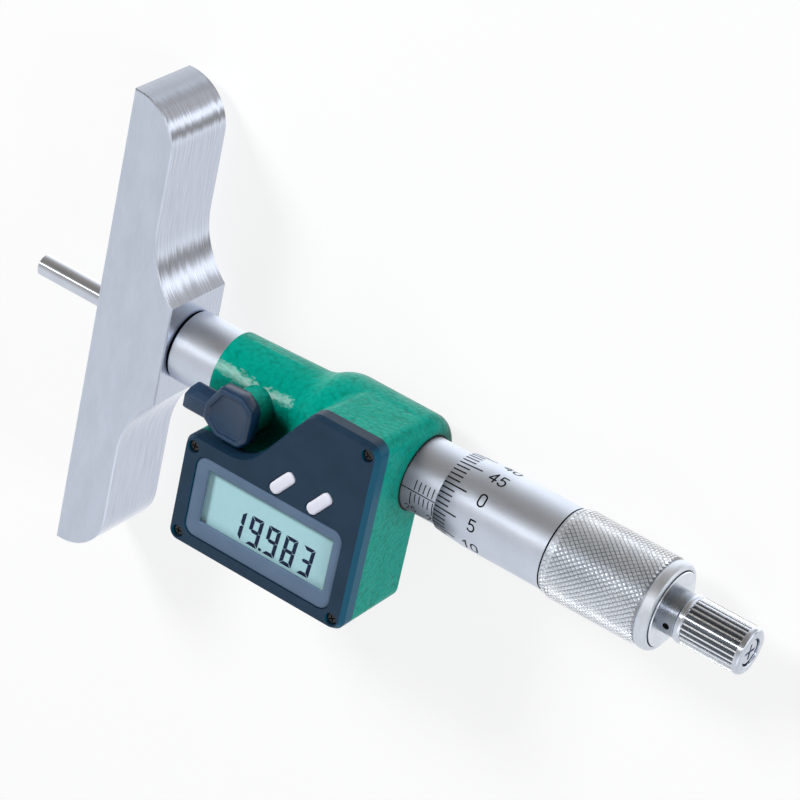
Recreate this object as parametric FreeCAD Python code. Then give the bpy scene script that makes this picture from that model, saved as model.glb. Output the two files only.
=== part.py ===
import FreeCAD, Part
import math
import os
from FreeCAD import Vector

os.makedirs("parts", exist_ok=True)

# Digital depth micrometer, 0-25 mm, in millimetres.
# Origin: centre of the measuring face, on the spindle axis.
# X runs along the spindle from the face to the ratchet, Y along the base, Z out of the display.

# Scale and reading
travel = 25.0
reading = 19.98
spare_thread = 0.6

# Clearances
running_gap = 0.05
moving_gap = 0.15
seat_gap = 0.02

# Base
base_length = 101.6
base_width = 17.0
base_thickness = 10.7
base_end_radius = 9.8
boss_height = 17.24
boss_length = 21.6
scoop_radius = 18.5
edge_break = 0.25

# Measuring rod
rod_radius = 2.25
rod_tip_bevel = 0.35
rod_hole_gap = 0.3
rod_nut_across_flats = 7.0
rod_nut_thickness = 1.7

# Barrel between base and casting
barrel_radius = 7.35
barrel_groove_depth = 0.7
barrel_groove_width = 0.3
shank_radius = 5.0
shank_start = 6.2
tenon_radius = 6.3
barrel_end = 56.0
seal_width = 2.0
seal_depth = 1.3

# Spindle
spindle_radius = 4.0
spindle_front = 17.0
spindle_front_room = 0.5
thread_radius = 4.95
spindle_tail_radius = 4.6
keyway_width = 1.6
keyway_depth = 0.7

# Casting
tube_start = 28.3
tube_radius_front = 7.8
tube_radius_rear = 8.4
swell_start = 45.7
swell_end = 54.5
big_radius = 11.0
casting_end = 73.5
end_round = 3.0
casting_wall = 2.2

# Display box outline
box_left = 31.4
box_right = 73.3
box_bottom = -29.6
box_top = 11.9
box_back = -1.6
box_joint = 14.1
scoop_level = -5.5
slope_angle = 55.5
slope_top_x = 57.8
corner_radius = 2.6
slope_radius = 3.2
lever_scoop_radius = 8.5
box_taper = 1.1
box_edge_round = 1.0
scoop_blend = 2.5

# Display cover and its seal
gasket_outside = 0.5
gasket_inside = 1.2
gasket_depth = 0.6
cover_front = 17.8
cover_bevel_start = 16.6
cover_bevel = 0.7
slope_bevel = 0.35
scoop_bevel = 0.2
cover_wall = 1.8
screw_inset = 2.4
screw_head_radius = 1.15
screw_head_height = 0.8
screw_radius = 0.8
screw_length = 8.0
screw_sink = 0.45
screw_post_radius = 2.2

# Window and display
window_left = 35.0
window_right = 69.75
window_bottom = -26.5
window_top = -8.7
window_radius = 2.4
frame_recess = 0.25
frame_thickness = 0.5
view_left = 38.0
view_right = 67.6
view_bottom = -22.8
view_top = -11.3
lens_margin = 1.5
lens_thickness = 0.6
panel_gap = 0.1
panel_thickness = 1.8
board_level = 11.9
board_thickness = 1.0

# Push buttons
button_y = -5.2
button_xs = {"set_button": 54.5, "data_button": 63.2}
button_angle = 53.0
button_length = 6.7
button_width = 2.5
button_round = 0.9
button_proud = 0.4
button_travel = 0.5
button_flange = 0.5
button_flange_thickness = 0.7
mat_width = 15.5
mat_round = 1.0
mat_thickness = 0.6

# Lock
lock_x = 39.5
lever_back = 13.3
lever_front = 16.5
lever_recess = 0.6
lever_rim = 1.5
tab_front = 28.4
tab_length = 7.0
tab_lean = 1.1
lock_screw_radius = 2.4
lock_boss_radius = 4.3
lock_shoe_radius = 1.8

# Encoder
chamber_radius = 9.0
chamber_end = 68.0
disc_thickness = 1.2
disc_gap = 0.4
bush_radius = 6.0
washer_thickness = 0.3

# Sleeve and thimble
sleeve_radius = 7.525
sleeve_wall = 0.55
sleeve_end = 106.5
inner_sleeve_end = 111.0
nut_start = 96.0
nut_thread_length = 11.0
adjusting_nut_length = 4.0
spanner_notch_depth = 0.6
spanner_notch_width = 1.0
thimble_edge_at_zero = 101.4
thimble_edge_radius = 7.93
thimble_cone_end = 87.5
thimble_radius = 8.45
knurl_radius = 9.08
knurl_start = 105.8
knurl_full = 107.6
knurl_end = 127.06
thimble_end = 129.3
thimble_web_start = 117.0
thimble_web_end = 122.5
cap_radius = 7.6
cap_seat_radius = 7.75

# Ratchet
cap_face = 129.65
neck_radius = 4.5
neck_end = 132.55
spanner_hole_radius = 0.7
spanner_hole_angle = 101.5
spanner_hole_x = 131.1
knob_collar_radius = 4.9
knob_flute_start = 134.05
knob_radius = 4.78
knob_flute_end = 145.3
knob_end = 146.6
knob_wall = 1.05
knob_end_round = 0.8
flute_count = 28
flute_width = 0.7
flute_depth = 0.32
stem_radius = 2.0
end_screw_radius = 2.55
end_screw_recess = 2.85

# Power
battery_radius = 5.8
battery_height = 5.4
battery_x = 60.5
battery_y = -19.0
battery_cap_radius = 7.6
battery_cap_thickness = 1.6

# Values worked out from the driving ones
axis_x = Vector(1, 0, 0)
axis_z = Vector(0, 0, 1)
origin = Vector(0, 0, 0)
out_travel = reading
in_travel = travel - reading
thimble_edge = thimble_edge_at_zero - reading
bore_radius = spindle_radius + running_gap
barrel_bore_start = spindle_front - in_travel - spindle_front_room
scoop_corner_x = slope_top_x - (box_top - scoop_level) / math.tan(math.radians(slope_angle))
frame_front = cover_front - frame_recess
lens_front = frame_front - frame_thickness
panel_front = lens_front - lens_thickness - panel_gap
board_front = board_level + board_thickness
nut_end = nut_start + nut_thread_length
thread_start = nut_start - out_travel
thread_end = nut_end + in_travel + spare_thread
rod_seat = thimble_web_end + 1.0


def tube(start, end, outer, inner=0.0):
    """Round piece along X, hollow if inner is given."""
    body = Part.makeCylinder(outer, end - start, Vector(start, 0, 0), axis_x)
    if inner > 0:
        body = body.cut(Part.makeCylinder(inner, end - start, Vector(start, 0, 0), axis_x))
    return body


def post(x, y, bottom, top, radius):
    """Round post along Z."""
    return Part.makeCylinder(radius, top - bottom, Vector(x, y, bottom), axis_z)


def block(x0, x1, y0, y1, z0, z1):
    return Part.makeBox(x1 - x0, y1 - y0, z1 - z0, Vector(x0, y0, z0))


def turned(points):
    """Turned piece: closed profile of (x, radius) points, spun about X."""
    wire = Part.makePolygon([Vector(x, r, 0) for x, r in points + points[:1]])
    return Part.Face(wire).revolve(origin, axis_x, 360)


def inset_corners(corners, insets):
    """Moves each side of a counter-clockwise outline inwards, and its corner radii with it."""
    count = len(corners)
    lines = []
    for i in range(count):
        x0, y0, _ = corners[i]
        x1, y1, _ = corners[(i + 1) % count]
        length = math.hypot(x1 - x0, y1 - y0)
        dx, dy = (x1 - x0) / length, (y1 - y0) / length
        lines.append((x0 - dy * insets[i], y0 + dx * insets[i], dx, dy))
    moved = []
    for i in range(count):
        px, py, ax, ay = lines[i - 1]
        qx, qy, bx, by = lines[i]
        cross = ax * by - ay * bx
        along = ((qx - px) * by - (qy - py) * bx) / cross
        shrink = min(insets[i - 1], insets[i])
        radius = corners[i][2] - shrink if cross > 0 else corners[i][2] + shrink
        moved.append((px + ax * along, py + ay * along, max(radius, 0.15)))
    return moved


def outline(corners, z):
    """Closed wire at height z: straight sides with round corners."""
    count = len(corners)
    starts, ends, middles = [], [], []
    for i in range(count):
        x, y, radius = corners[i]
        px, py, _ = corners[i - 1]
        nx, ny, _ = corners[(i + 1) % count]
        into = Vector(x - px, y - py, 0).normalize()
        out = Vector(nx - x, ny - y, 0).normalize()
        turn = math.acos(max(-1.0, min(1.0, into.dot(out))))
        reach = radius * math.tan(turn / 2)
        corner = Vector(x, y, z)
        towards = (out - into).normalize()
        centre = corner + towards * (radius / math.cos(turn / 2))
        starts.append(corner - into * reach)
        ends.append(corner + out * reach)
        middles.append(centre - towards * radius)
    edges = []
    for i in range(count):
        edges.append(Part.LineSegment(ends[i - 1], starts[i]).toShape())
        edges.append(Part.Arc(starts[i], middles[i], ends[i]).toShape())
    return Part.Wire(edges)


def prism(corners, bottom, top):
    return Part.Face(outline(corners, bottom)).extrude(Vector(0, 0, top - bottom))


def rectangle(x0, x1, y0, y1, radius):
    return [(x0, y0, radius), (x1, y0, radius), (x1, y1, radius), (x0, y1, radius)]


def box_corners():
    """Display box outline, counter-clockwise from its lower left corner."""
    return [
        (box_left, box_bottom, corner_radius),
        (box_right, box_bottom, corner_radius),
        (box_right, box_top, corner_radius),
        (slope_top_x, box_top, slope_radius),
        (scoop_corner_x, scoop_level, lever_scoop_radius),
        (box_left, scoop_level, corner_radius),
    ]


def box_inset(amount):
    return inset_corners(box_corners(), [amount] * 6)


def screw_places():
    left = box_left + screw_inset
    right = box_right - screw_inset
    bottom = box_bottom + screw_inset
    return [
        (left, bottom),
        (right, bottom),
        (right, box_top - screw_inset),
        (left, scoop_level - screw_inset),
    ]


def cylinders(places, bottom, top, radius):
    return Part.makeCompound([post(x, y, bottom, top, radius) for x, y in places])


def base_bar():
    """Stirrup: round ends, hollow finger scoops and a centre boss for the barrel."""
    half = base_length / 2
    end_y = half - base_end_radius
    end_x = base_thickness - base_end_radius
    half_boss = boss_length / 2
    centre_x = base_thickness + scoop_radius
    scoop_y = half_boss + math.sqrt(scoop_radius ** 2 - (centre_x - boss_height) ** 2)
    lean = math.atan2(scoop_y - half_boss, centre_x - boss_height) / 2
    diagonal = base_end_radius * math.sqrt(0.5)
    edges = [Part.LineSegment(Vector(0, -half, 0), Vector(0, half, 0)).toShape()]
    for side in (1, -1):
        corner = Vector(0, side * half, 0)
        crown = Vector(end_x, side * half, 0)
        crown_middle = Vector(end_x + diagonal, side * (end_y + diagonal), 0)
        crown_end = Vector(base_thickness, side * end_y, 0)
        scoop_from = Vector(base_thickness, side * scoop_y, 0)
        scoop_middle = Vector(
            centre_x - scoop_radius * math.cos(lean),
            side * (scoop_y - scoop_radius * math.sin(lean)),
            0,
        )
        scoop_to = Vector(boss_height, side * half_boss, 0)
        edges += [
            Part.LineSegment(corner, crown).toShape(),
            Part.Arc(crown, crown_middle, crown_end).toShape(),
            Part.LineSegment(crown_end, scoop_from).toShape(),
            Part.Arc(scoop_from, scoop_middle, scoop_to).toShape(),
        ]
    boss_side = Vector(boss_height, half_boss, 0)
    edges.append(Part.LineSegment(boss_side, Vector(boss_height, -half_boss, 0)).toShape())
    wire = Part.Wire(Part.__sortEdges__(edges))
    bar = Part.Face(wire).extrude(Vector(0, 0, base_width))
    bar.translate(Vector(0, 0, -base_width / 2))
    rims = [
        edge
        for edge in bar.Edges
        if abs(abs(edge.CenterOfMass.z) - base_width / 2) < 1e-6
    ]
    bar = bar.makeChamfer(edge_break, rims)
    bar = bar.cut(tube(shank_start, boss_height, shank_radius + seat_gap))
    return bar.cut(tube(-1, shank_start + 1, rod_radius + rod_hole_gap))


def measuring_rod():
    tip = -reading
    tail = rod_seat + 2 * rod_nut_thickness + 0.3
    return turned(
        [
            (tip, 0),
            (tip, rod_radius - rod_tip_bevel),
            (tip + rod_tip_bevel, rod_radius),
            (tail - rod_tip_bevel, rod_radius),
            (tail, rod_radius - rod_tip_bevel),
            (tail, 0),
        ]
    )


def rod_nuts():
    """Seat nut and lock nut at the rod's upper end."""
    across_corners = rod_nut_across_flats / math.cos(math.pi / 6)
    nuts = []
    for index in range(2):
        start = rod_seat + index * (rod_nut_thickness + seat_gap)
        points = [
            Vector(
                start,
                across_corners / 2 * math.cos(k * math.pi / 3),
                across_corners / 2 * math.sin(k * math.pi / 3),
            )
            for k in range(7)
        ]
        nut = Part.Face(Part.makePolygon(points)).extrude(Vector(rod_nut_thickness, 0, 0))
        nuts.append(nut.cut(tube(start, start + rod_nut_thickness, rod_radius + seat_gap)))
    return Part.makeCompound(nuts)


def front_barrel():
    """Steel barrel: shank in the base, visible satin tube, tenon inside the casting."""
    groove_radius = barrel_radius - barrel_groove_depth
    groove_end = boss_height + barrel_groove_width
    bevel = 0.25
    body = turned(
        [
            (shank_start, 0),
            (shank_start, shank_radius),
            (boss_height, shank_radius),
            (boss_height, groove_radius),
            (groove_end, groove_radius),
            (groove_end, barrel_radius - bevel),
            (groove_end + bevel, barrel_radius),
            (tube_start, barrel_radius),
            (tube_start, tenon_radius),
            (barrel_end, tenon_radius),
            (barrel_end, 0),
        ]
    )
    body = body.cut(tube(barrel_bore_start, barrel_end + 1, bore_radius))
    body = body.cut(tube(shank_start - 1, barrel_bore_start + 1, rod_radius + rod_hole_gap))
    seal_start = shank_start + 1.2
    body = body.cut(tube(seal_start, seal_start + seal_width, rod_radius + seal_depth))
    return body.cut(post(lock_x, 0, 0, barrel_radius + 1, lock_shoe_radius + running_gap))


def front_seal():
    start = shank_start + 1.2 + seat_gap
    end = start + seal_width - 2 * seat_gap
    return tube(start, end, rod_radius + seal_depth - seat_gap, rod_radius + running_gap)


def casting_tube():
    """Outer form of the cast tube: drafted front, swelling to the encoder end."""
    rise = big_radius - tube_radius_rear
    run = swell_end - swell_start
    bend = 2 * math.atan2(rise, run)
    arc_radius = run / 2 / math.sin(bend)
    half_x = swell_start + run / 2
    half_r = tube_radius_rear + rise / 2
    quarter = arc_radius * math.sin(bend / 2)
    lift = arc_radius * (1 - math.cos(bend / 2))
    round_side = end_round * math.sqrt(0.5)
    start = Vector(tube_start, tube_radius_front, 0)
    swell_from = Vector(swell_start, tube_radius_rear, 0)
    swell_half = Vector(half_x, half_r, 0)
    swell_to = Vector(swell_end, big_radius, 0)
    round_from = Vector(casting_end - end_round, big_radius, 0)
    round_middle = Vector(
        casting_end - end_round + round_side, big_radius - end_round + round_side, 0
    )
    round_to = Vector(casting_end, big_radius - end_round, 0)
    low = Vector(swell_start + quarter, tube_radius_rear + lift, 0)
    high = Vector(swell_end - quarter, big_radius - lift, 0)
    edges = [
        Part.LineSegment(Vector(tube_start, 0, 0), start).toShape(),
        Part.LineSegment(start, swell_from).toShape(),
        Part.Arc(swell_from, low, swell_half).toShape(),
        Part.Arc(swell_half, high, swell_to).toShape(),
        Part.LineSegment(swell_to, round_from).toShape(),
        Part.Arc(round_from, round_middle, round_to).toShape(),
        Part.LineSegment(round_to, Vector(casting_end, 0, 0)).toShape(),
        Part.LineSegment(Vector(casting_end, 0, 0), Vector(tube_start, 0, 0)).toShape(),
    ]
    return Part.Face(Part.Wire(edges)).revolve(origin, axis_x, 360)


def casting_box():
    """Display box of the casting, drafted towards the tube on its upper sides."""
    corners = box_corners()
    taper = [0, 0, box_taper, box_taper, 0, 0]
    return Part.makeLoft(
        [outline(inset_corners(corners, taper), box_back), outline(corners, box_joint)],
        True,
        True,
    )


def meeting_edges(body, low, high):
    """Creases where the box's upper walls run into the tube, between two heights."""
    found = []
    for edge in body.Edges:
        first, last = edge.FirstParameter, edge.LastParameter
        points = [edge.valueAt(first + (last - first) * k) for k in (0.1, 0.5, 0.9)]
        on_tube = all(math.hypot(p.y, p.z) < big_radius + 0.05 for p in points)
        inside = all(low < p.z < high and box_left + 0.5 < p.x < slope_top_x for p in points)
        across = abs(points[0].x - points[2].x) > 0.3
        if on_tube and inside and across:
            found.append(edge)
    return found


def casting():
    """One-piece enamelled casting, hollow for the spindle, encoder, board and battery."""
    box = casting_box()
    rim = [
        edge
        for edge in box.Edges
        if abs(edge.CenterOfMass.z - box_back) < 1e-6 and edge.CenterOfMass.y < scoop_level + 1
    ]
    box = box.makeFillet(box_edge_round, rim)
    body = casting_tube().fuse(box).removeSplitter()
    body = body.makeFillet(scoop_blend, meeting_edges(body, 2.5, box_joint))
    body = body.fuse(post(lock_x, 0, 0, lever_back - moving_gap * 2, lock_boss_radius))
    body = body.removeSplitter()
    pocket = box_inset(casting_wall)
    shallow = prism(pocket, board_level - 0.6, box_joint + 1)
    posts = cylinders(screw_places(), board_level - 2, box_joint + 1, screw_post_radius)
    deep = block(
        box_left + casting_wall + 2.5,
        box_right - casting_wall - 1.0,
        box_bottom + casting_wall,
        -chamber_radius - casting_wall,
        box_back + battery_cap_thickness + 0.9,
        board_level,
    )
    body = body.cut(shallow.fuse(deep).cut(posts))
    body = body.cut(tube(tube_start - 1, barrel_end, tenon_radius + seat_gap))
    body = body.cut(tube(barrel_end, chamber_end, chamber_radius))
    body = body.cut(tube(chamber_end - 1, casting_end + 1, sleeve_radius - sleeve_wall + seat_gap))
    body = body.cut(tube(casting_end - 1.2, casting_end + 1, sleeve_radius + 0.4))
    body = body.cut(post(lock_x, 0, 0, lever_front, lock_screw_radius + running_gap))
    holes = cylinders(screw_places(), box_joint - screw_length, box_joint + 1, screw_radius + seat_gap)
    body = body.cut(holes)
    groove = prism(box_inset(gasket_outside), box_joint - gasket_depth, box_joint + 1).cut(
        prism(box_inset(gasket_inside), box_joint - 1, box_joint + 2)
    )
    body = body.cut(groove)
    mouth = post(battery_x, battery_y, box_back - 1, box_back + battery_cap_thickness, battery_cap_radius)
    throat = post(battery_x, battery_y, box_back - 1, board_level - 1, battery_radius + moving_gap)
    return body.cut(mouth).cut(throat)


def cover_gasket():
    outer = prism(box_inset(gasket_outside + seat_gap), box_joint - gasket_depth, box_joint)
    inner = prism(box_inset(gasket_inside - seat_gap), box_joint - 1, box_joint + 1)
    return outer.cut(inner)


def button_corners(centre_x, length, width, radius):
    """Rounded rectangle along the sloping side of the cover."""
    angle = math.radians(button_angle)
    corners = []
    for along, across in ((-1, -1), (1, -1), (1, 1), (-1, 1)):
        u = along * length / 2
        v = across * width / 2
        x = centre_x + u * math.cos(angle) - v * math.sin(angle)
        y = button_y + u * math.sin(angle) + v * math.cos(angle)
        corners.append((x, y, radius))
    return corners


def display_cover():
    """Moulded cover with bevelled rim, window pocket, button openings and screw seats."""
    corners = box_corners()
    bevels = [cover_bevel, cover_bevel, cover_bevel, slope_bevel, scoop_bevel, cover_bevel]
    wall = prism(corners, box_joint, cover_bevel_start)
    rim = Part.makeLoft(
        [
            outline(corners, cover_bevel_start),
            outline(inset_corners(corners, bevels), cover_front),
        ],
        True,
        True,
    )
    body = wall.fuse(rim)
    hollow = prism(box_inset(cover_wall), box_joint - 1, cover_front - cover_wall)
    seats = cylinders(screw_places(), box_joint - 2, cover_front, screw_post_radius)
    body = body.cut(hollow.cut(seats))
    pocket = rectangle(window_left, window_right, window_bottom, window_top, window_radius)
    body = body.cut(prism(pocket, lens_front, cover_front + 1))
    opening = rectangle(
        view_left - lens_margin,
        view_right + lens_margin / 2,
        view_bottom - lens_margin,
        view_top + lens_margin,
        0.6,
    )
    body = body.cut(prism(opening, box_joint - 1, cover_front + 1))
    for centre in button_xs.values():
        slot = button_corners(
            centre, button_length + 2 * moving_gap, button_width + 2 * moving_gap, button_round
        )
        body = body.cut(prism(slot, box_joint, cover_front + 1))
    head = screw_head_radius + moving_gap
    floor = cover_front - screw_sink - screw_head_height
    body = body.cut(cylinders(screw_places(), floor, cover_front + 1, head))
    return body.cut(cylinders(screw_places(), box_joint - 1, cover_front, screw_radius + seat_gap))


def window_frame():
    outer = rectangle(
        window_left + seat_gap * 3,
        window_right - seat_gap * 3,
        window_bottom + seat_gap * 3,
        window_top - seat_gap * 3,
        window_radius,
    )
    inner = rectangle(view_left, view_right, view_bottom, view_top, 0.3)
    ring = prism(outer, lens_front, frame_front)
    return ring.cut(prism(inner, lens_front - 1, frame_front + 1))


def window_lens():
    corners = rectangle(
        view_left - lens_margin + seat_gap,
        view_right + lens_margin / 2 - seat_gap,
        view_bottom - lens_margin + seat_gap,
        view_top + lens_margin - seat_gap,
        0.6,
    )
    return prism(corners, lens_front - lens_thickness, lens_front)


def lcd_panel():
    corners = rectangle(
        view_left - lens_margin / 2,
        view_right + lens_margin / 2 - seat_gap * 2,
        view_bottom - lens_margin + seat_gap * 2,
        view_top + lens_margin / 2,
        0.2,
    )
    return prism(corners, panel_front - panel_thickness, panel_front)


def contact_strip():
    """Elastic connector between the board and the display glass."""
    return block(
        view_left + 1,
        view_right - 1,
        view_bottom - lens_margin / 2,
        view_bottom + lens_margin / 2,
        board_front,
        panel_front - panel_thickness,
    )


def circuit_board():
    board = prism(box_inset(casting_wall + 0.4), board_level, board_front)
    posts = cylinders(screw_places(), board_level - 1, board_front + 1, screw_post_radius + 0.2)
    return board.cut(posts)


def key_mat():
    """Silicone mat with a dome under each button."""
    centre = sum(button_xs.values()) / 2
    room = button_travel + moving_gap
    underside = cover_front - cover_wall - button_flange_thickness
    mat = prism(
        button_corners(centre, button_length * 1.05, mat_width, mat_round), board_front, board_front + mat_thickness
    )
    floor = view_top + lens_margin + 0.6
    mat = mat.cut(block(box_left, box_right, box_bottom, floor, 0, cover_front))
    for x in button_xs.values():
        dome = Part.makeCone(1.9, 1.2, underside - room - board_front, Vector(x, button_y, board_front))
        mat = mat.fuse(dome)
    return mat.removeSplitter()


def push_button(centre):
    """Keycap with a flange that keeps it behind the cover."""
    top = cover_front + button_proud
    flange_top = cover_front - cover_wall - seat_gap
    flange_bottom = flange_top - button_flange_thickness
    cap = prism(button_corners(centre, button_length, button_width, button_round), flange_bottom, top)
    rim = [edge for edge in cap.Edges if abs(edge.CenterOfMass.z - top) < 1e-6]
    cap = cap.makeChamfer(0.25, rim)
    flange = prism(
        button_corners(
            centre,
            button_length + 2 * button_flange,
            button_width + 2 * button_flange,
            button_round,
        ),
        flange_bottom,
        flange_top,
    )
    return cap.fuse(flange).removeSplitter()


def cross_recess(radius, depth):
    """Cross-head driver recess, point down, at the origin looking along Z."""
    arm = radius * 0.34
    cross = block(-radius, radius, -arm / 2, arm / 2, -depth, 0.5)
    return cross.fuse(block(-arm / 2, arm / 2, -radius, radius, -depth, 0.5))


def cover_screws():
    screws = []
    head_top = cover_front - screw_sink
    head_bottom = head_top - screw_head_height
    for x, y in screw_places():
        head = post(x, y, head_bottom, head_top, screw_head_radius)
        rim = [edge for edge in head.Edges if abs(edge.CenterOfMass.z - head_top) < 1e-6]
        head = head.makeChamfer(0.2, rim)
        shank = post(x, y, box_joint - screw_length + 0.5, head_bottom, screw_radius)
        screws.append(head.fuse(shank).removeSplitter())
    return Part.makeCompound(screws)


def lever_corners():
    """Lever head seen from the front, with the neck of its tab on the left."""
    return [
        (36.9, -4.75, 1.6),
        (42.6, -4.75, 1.9),
        (44.2, -2.6, 1.8),
        (44.2, 4.2, 2.6),
        (41.2, 6.4, 2.2),
        (36.2, 6.2, 1.2),
        (33.2, 1.2, 0.8),
        (33.2, -1.9, 0.8),
    ]


def lock_lever():
    """Moulded lever: recessed head over the lock screw, and a finger tab."""
    head = prism(lever_corners(), lever_back, lever_front)
    rim = [edge for edge in head.Edges if abs(edge.CenterOfMass.z - lever_front) < 1e-6]
    head = head.makeChamfer(0.4, rim)
    recess = prism(
        inset_corners(lever_corners(), [lever_rim] * 8), lever_front - lever_recess, lever_front + 1
    )
    crown = lever_front - 0.25
    section = [
        Vector(tab_front, -2.4, lever_back),
        Vector(tab_front, 2.95, lever_back),
        Vector(tab_front, 2.95, lever_back + 0.5),
        Vector(tab_front, 2.05, lever_back + 1.9),
        Vector(tab_front, 0.8, crown),
        Vector(tab_front, -1.9, crown),
        Vector(tab_front, -2.4, crown - 0.5),
    ]
    tab = Part.Face(Part.makePolygon(section + section[:1])).extrude(Vector(tab_length, 0, 0))
    lean = Part.makePolygon(
        [
            Vector(tab_front - 1, -4, lever_back),
            Vector(tab_front + tab_lean, -4, lever_back),
            Vector(tab_front, -4, crown),
            Vector(tab_front - 1, -4, crown),
            Vector(tab_front - 1, -4, lever_back),
        ]
    )
    tab = tab.cut(Part.Face(lean).extrude(Vector(0, 8, 0)))
    body = head.fuse(tab).removeSplitter().cut(recess)
    square = (lock_screw_radius - 0.5) * math.sqrt(2) + seat_gap * 2
    socket = block(
        lock_x - square / 2, lock_x + square / 2, -square / 2, square / 2, lever_back - 1, lever_front - 1.2
    )
    return body.cut(socket)


def lock_screw():
    """Lock screw: threaded length in the casting's boss, square for the lever."""
    bottom = spindle_radius + running_gap + 2.7
    shank = post(lock_x, 0, bottom, lever_back - moving_gap, lock_screw_radius)
    square = (lock_screw_radius - 0.5) * math.sqrt(2)
    head = block(
        lock_x - square / 2,
        lock_x + square / 2,
        -square / 2,
        square / 2,
        lever_back - moving_gap,
        lever_front - 1.3,
    )
    return shank.fuse(head).removeSplitter()


def lock_shoe():
    """Brass shoe that presses on the spindle, hollowed to its radius."""
    bottom = spindle_radius * 0.8
    shoe = post(lock_x, 0, bottom, spindle_radius + running_gap + 2.6, lock_shoe_radius)
    return shoe.cut(tube(lock_x - 5, lock_x + 5, spindle_radius + running_gap))


def spindle():
    """Hollow micrometer screw with a keyway for the encoder bush."""
    front = spindle_front
    body = turned(
        [
            (front, 0),
            (front, spindle_radius - 0.3),
            (front + 0.3, spindle_radius),
            (thread_start - 0.6, spindle_radius),
            (thread_start, thread_radius - 0.35),
            (thread_start + 0.4, thread_radius - running_gap),
            (thread_end - 0.4, thread_radius - running_gap),
            (thread_end, spindle_tail_radius),
            (rod_seat, spindle_tail_radius),
            (rod_seat, 0),
        ]
    )
    body = body.cut(tube(front - 1, rod_seat + 1, rod_radius + running_gap))
    key_from = barrel_end + washer_thickness + 1.0 - out_travel
    key_to = barrel_end + washer_thickness + 5.0 + in_travel
    keyway = block(
        key_from,
        key_to,
        -keyway_width / 2,
        keyway_width / 2,
        spindle_radius - keyway_depth,
        spindle_radius + 1,
    )
    return body.cut(keyway)


def thrust_washer():
    start = barrel_end + seat_gap
    return tube(start, start + washer_thickness - 2 * seat_gap, bush_radius, spindle_radius + 0.3)


def rotor_place():
    """Where the encoder disc starts, counted back from the stator."""
    return chamber_end - disc_thickness - disc_gap - disc_thickness


def rotor_bush():
    """Brass bush that slides on the spindle and is turned by its keyway."""
    start = barrel_end + washer_thickness + seat_gap
    bush = tube(start, rotor_place(), bush_radius, bore_radius)
    spigot = tube(rotor_place(), rotor_place() + disc_thickness, bush_radius - 1.0, bore_radius)
    key = block(
        start + 1.5,
        start + 4.0,
        -keyway_width / 2 + moving_gap / 2,
        keyway_width / 2 - moving_gap / 2,
        spindle_radius - keyway_depth + moving_gap,
        bush_radius - 0.5,
    )
    return bush.fuse([spigot, key]).removeSplitter()


def encoder_rotor():
    start = rotor_place()
    return tube(start, start + disc_thickness, chamber_radius - 0.5, bush_radius - 1.0 + seat_gap)


def encoder_stator():
    return tube(chamber_end - disc_thickness, chamber_end, chamber_radius - seat_gap, bush_radius - 0.5)


def inner_sleeve():
    """Nut body: shank in the casting, bored clear, threaded and slit at its outer end."""
    outer = sleeve_radius - sleeve_wall - seat_gap
    nose = outer - 0.65
    body = tube(chamber_end + seat_gap, sleeve_end, outer)
    body = body.fuse(tube(sleeve_end, inner_sleeve_end, nose))
    body = body.cut(tube(chamber_end - 1, nut_start, thread_radius + 0.25))
    body = body.cut(tube(nut_start - 1, nut_end, thread_radius))
    body = body.cut(tube(nut_end - 1, inner_sleeve_end + 1, thread_radius + 0.25))
    for turn in range(3):
        slit = block(nut_start + 3, inner_sleeve_end + 1, -0.3, 0.3, 0, outer + 1)
        slit.rotate(origin, axis_x, 120 * turn)
        body = body.cut(slit)
    return body.removeSplitter()


def adjusting_nut():
    """Ring on the slit end of the nut body, with spanner notches."""
    start = sleeve_end + seat_gap
    inner = sleeve_radius - sleeve_wall - seat_gap - 0.65 + seat_gap
    ring = tube(start, start + adjusting_nut_length, sleeve_radius - 0.2, inner)
    for turn in range(4):
        notch = block(
            start + adjusting_nut_length - 1,
            start + adjusting_nut_length + 1,
            -spanner_notch_width / 2,
            spanner_notch_width / 2,
            sleeve_radius - 0.2 - spanner_notch_depth,
            sleeve_radius + 1,
        )
        notch.rotate(origin, axis_x, 90 * turn)
        ring = ring.cut(notch)
    return ring


def graduated_sleeve():
    return tube(casting_end - 1.1, sleeve_end, sleeve_radius, sleeve_radius - sleeve_wall)


def sleeve_seal():
    start = casting_end - 1.1
    return tube(start, casting_end + 0.1, sleeve_radius + 0.4 - seat_gap, sleeve_radius + seat_gap)


def thimble():
    """Thimble: bevelled edge, plain barrel, knurled grip and rolled rear rim."""
    edge = thimble_edge
    inside = sleeve_radius + moving_gap
    rim_round = 1.35
    rim_top = knurl_radius - 0.12
    body = turned(
        [
            (edge, inside),
            (edge, thimble_edge_radius),
            (thimble_cone_end, thimble_radius),
            (knurl_start, thimble_radius),
            (knurl_start + 0.3, thimble_radius - 0.12),
            (knurl_start + 0.5, thimble_radius + 0.05),
            (knurl_full, knurl_radius),
            (knurl_end - 0.3, knurl_radius),
            (knurl_end, rim_top),
            (thimble_end - rim_round, rim_top),
            (thimble_end - rim_round * 0.45, rim_top - rim_round * 0.16),
            (thimble_end - rim_round * 0.12, rim_top - rim_round * 0.52),
            (thimble_end, rim_top - rim_round * 0.85),
            (thimble_end, cap_seat_radius),
            (thimble_end - 1.5, cap_seat_radius),
            (thimble_end - 1.5, cap_radius - 0.4),
            (thimble_web_end, cap_radius - 0.4),
            (thimble_web_end, spindle_tail_radius + seat_gap),
            (thimble_web_start, spindle_tail_radius + seat_gap),
            (thimble_web_start, inside),
        ]
    )
    return body


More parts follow.
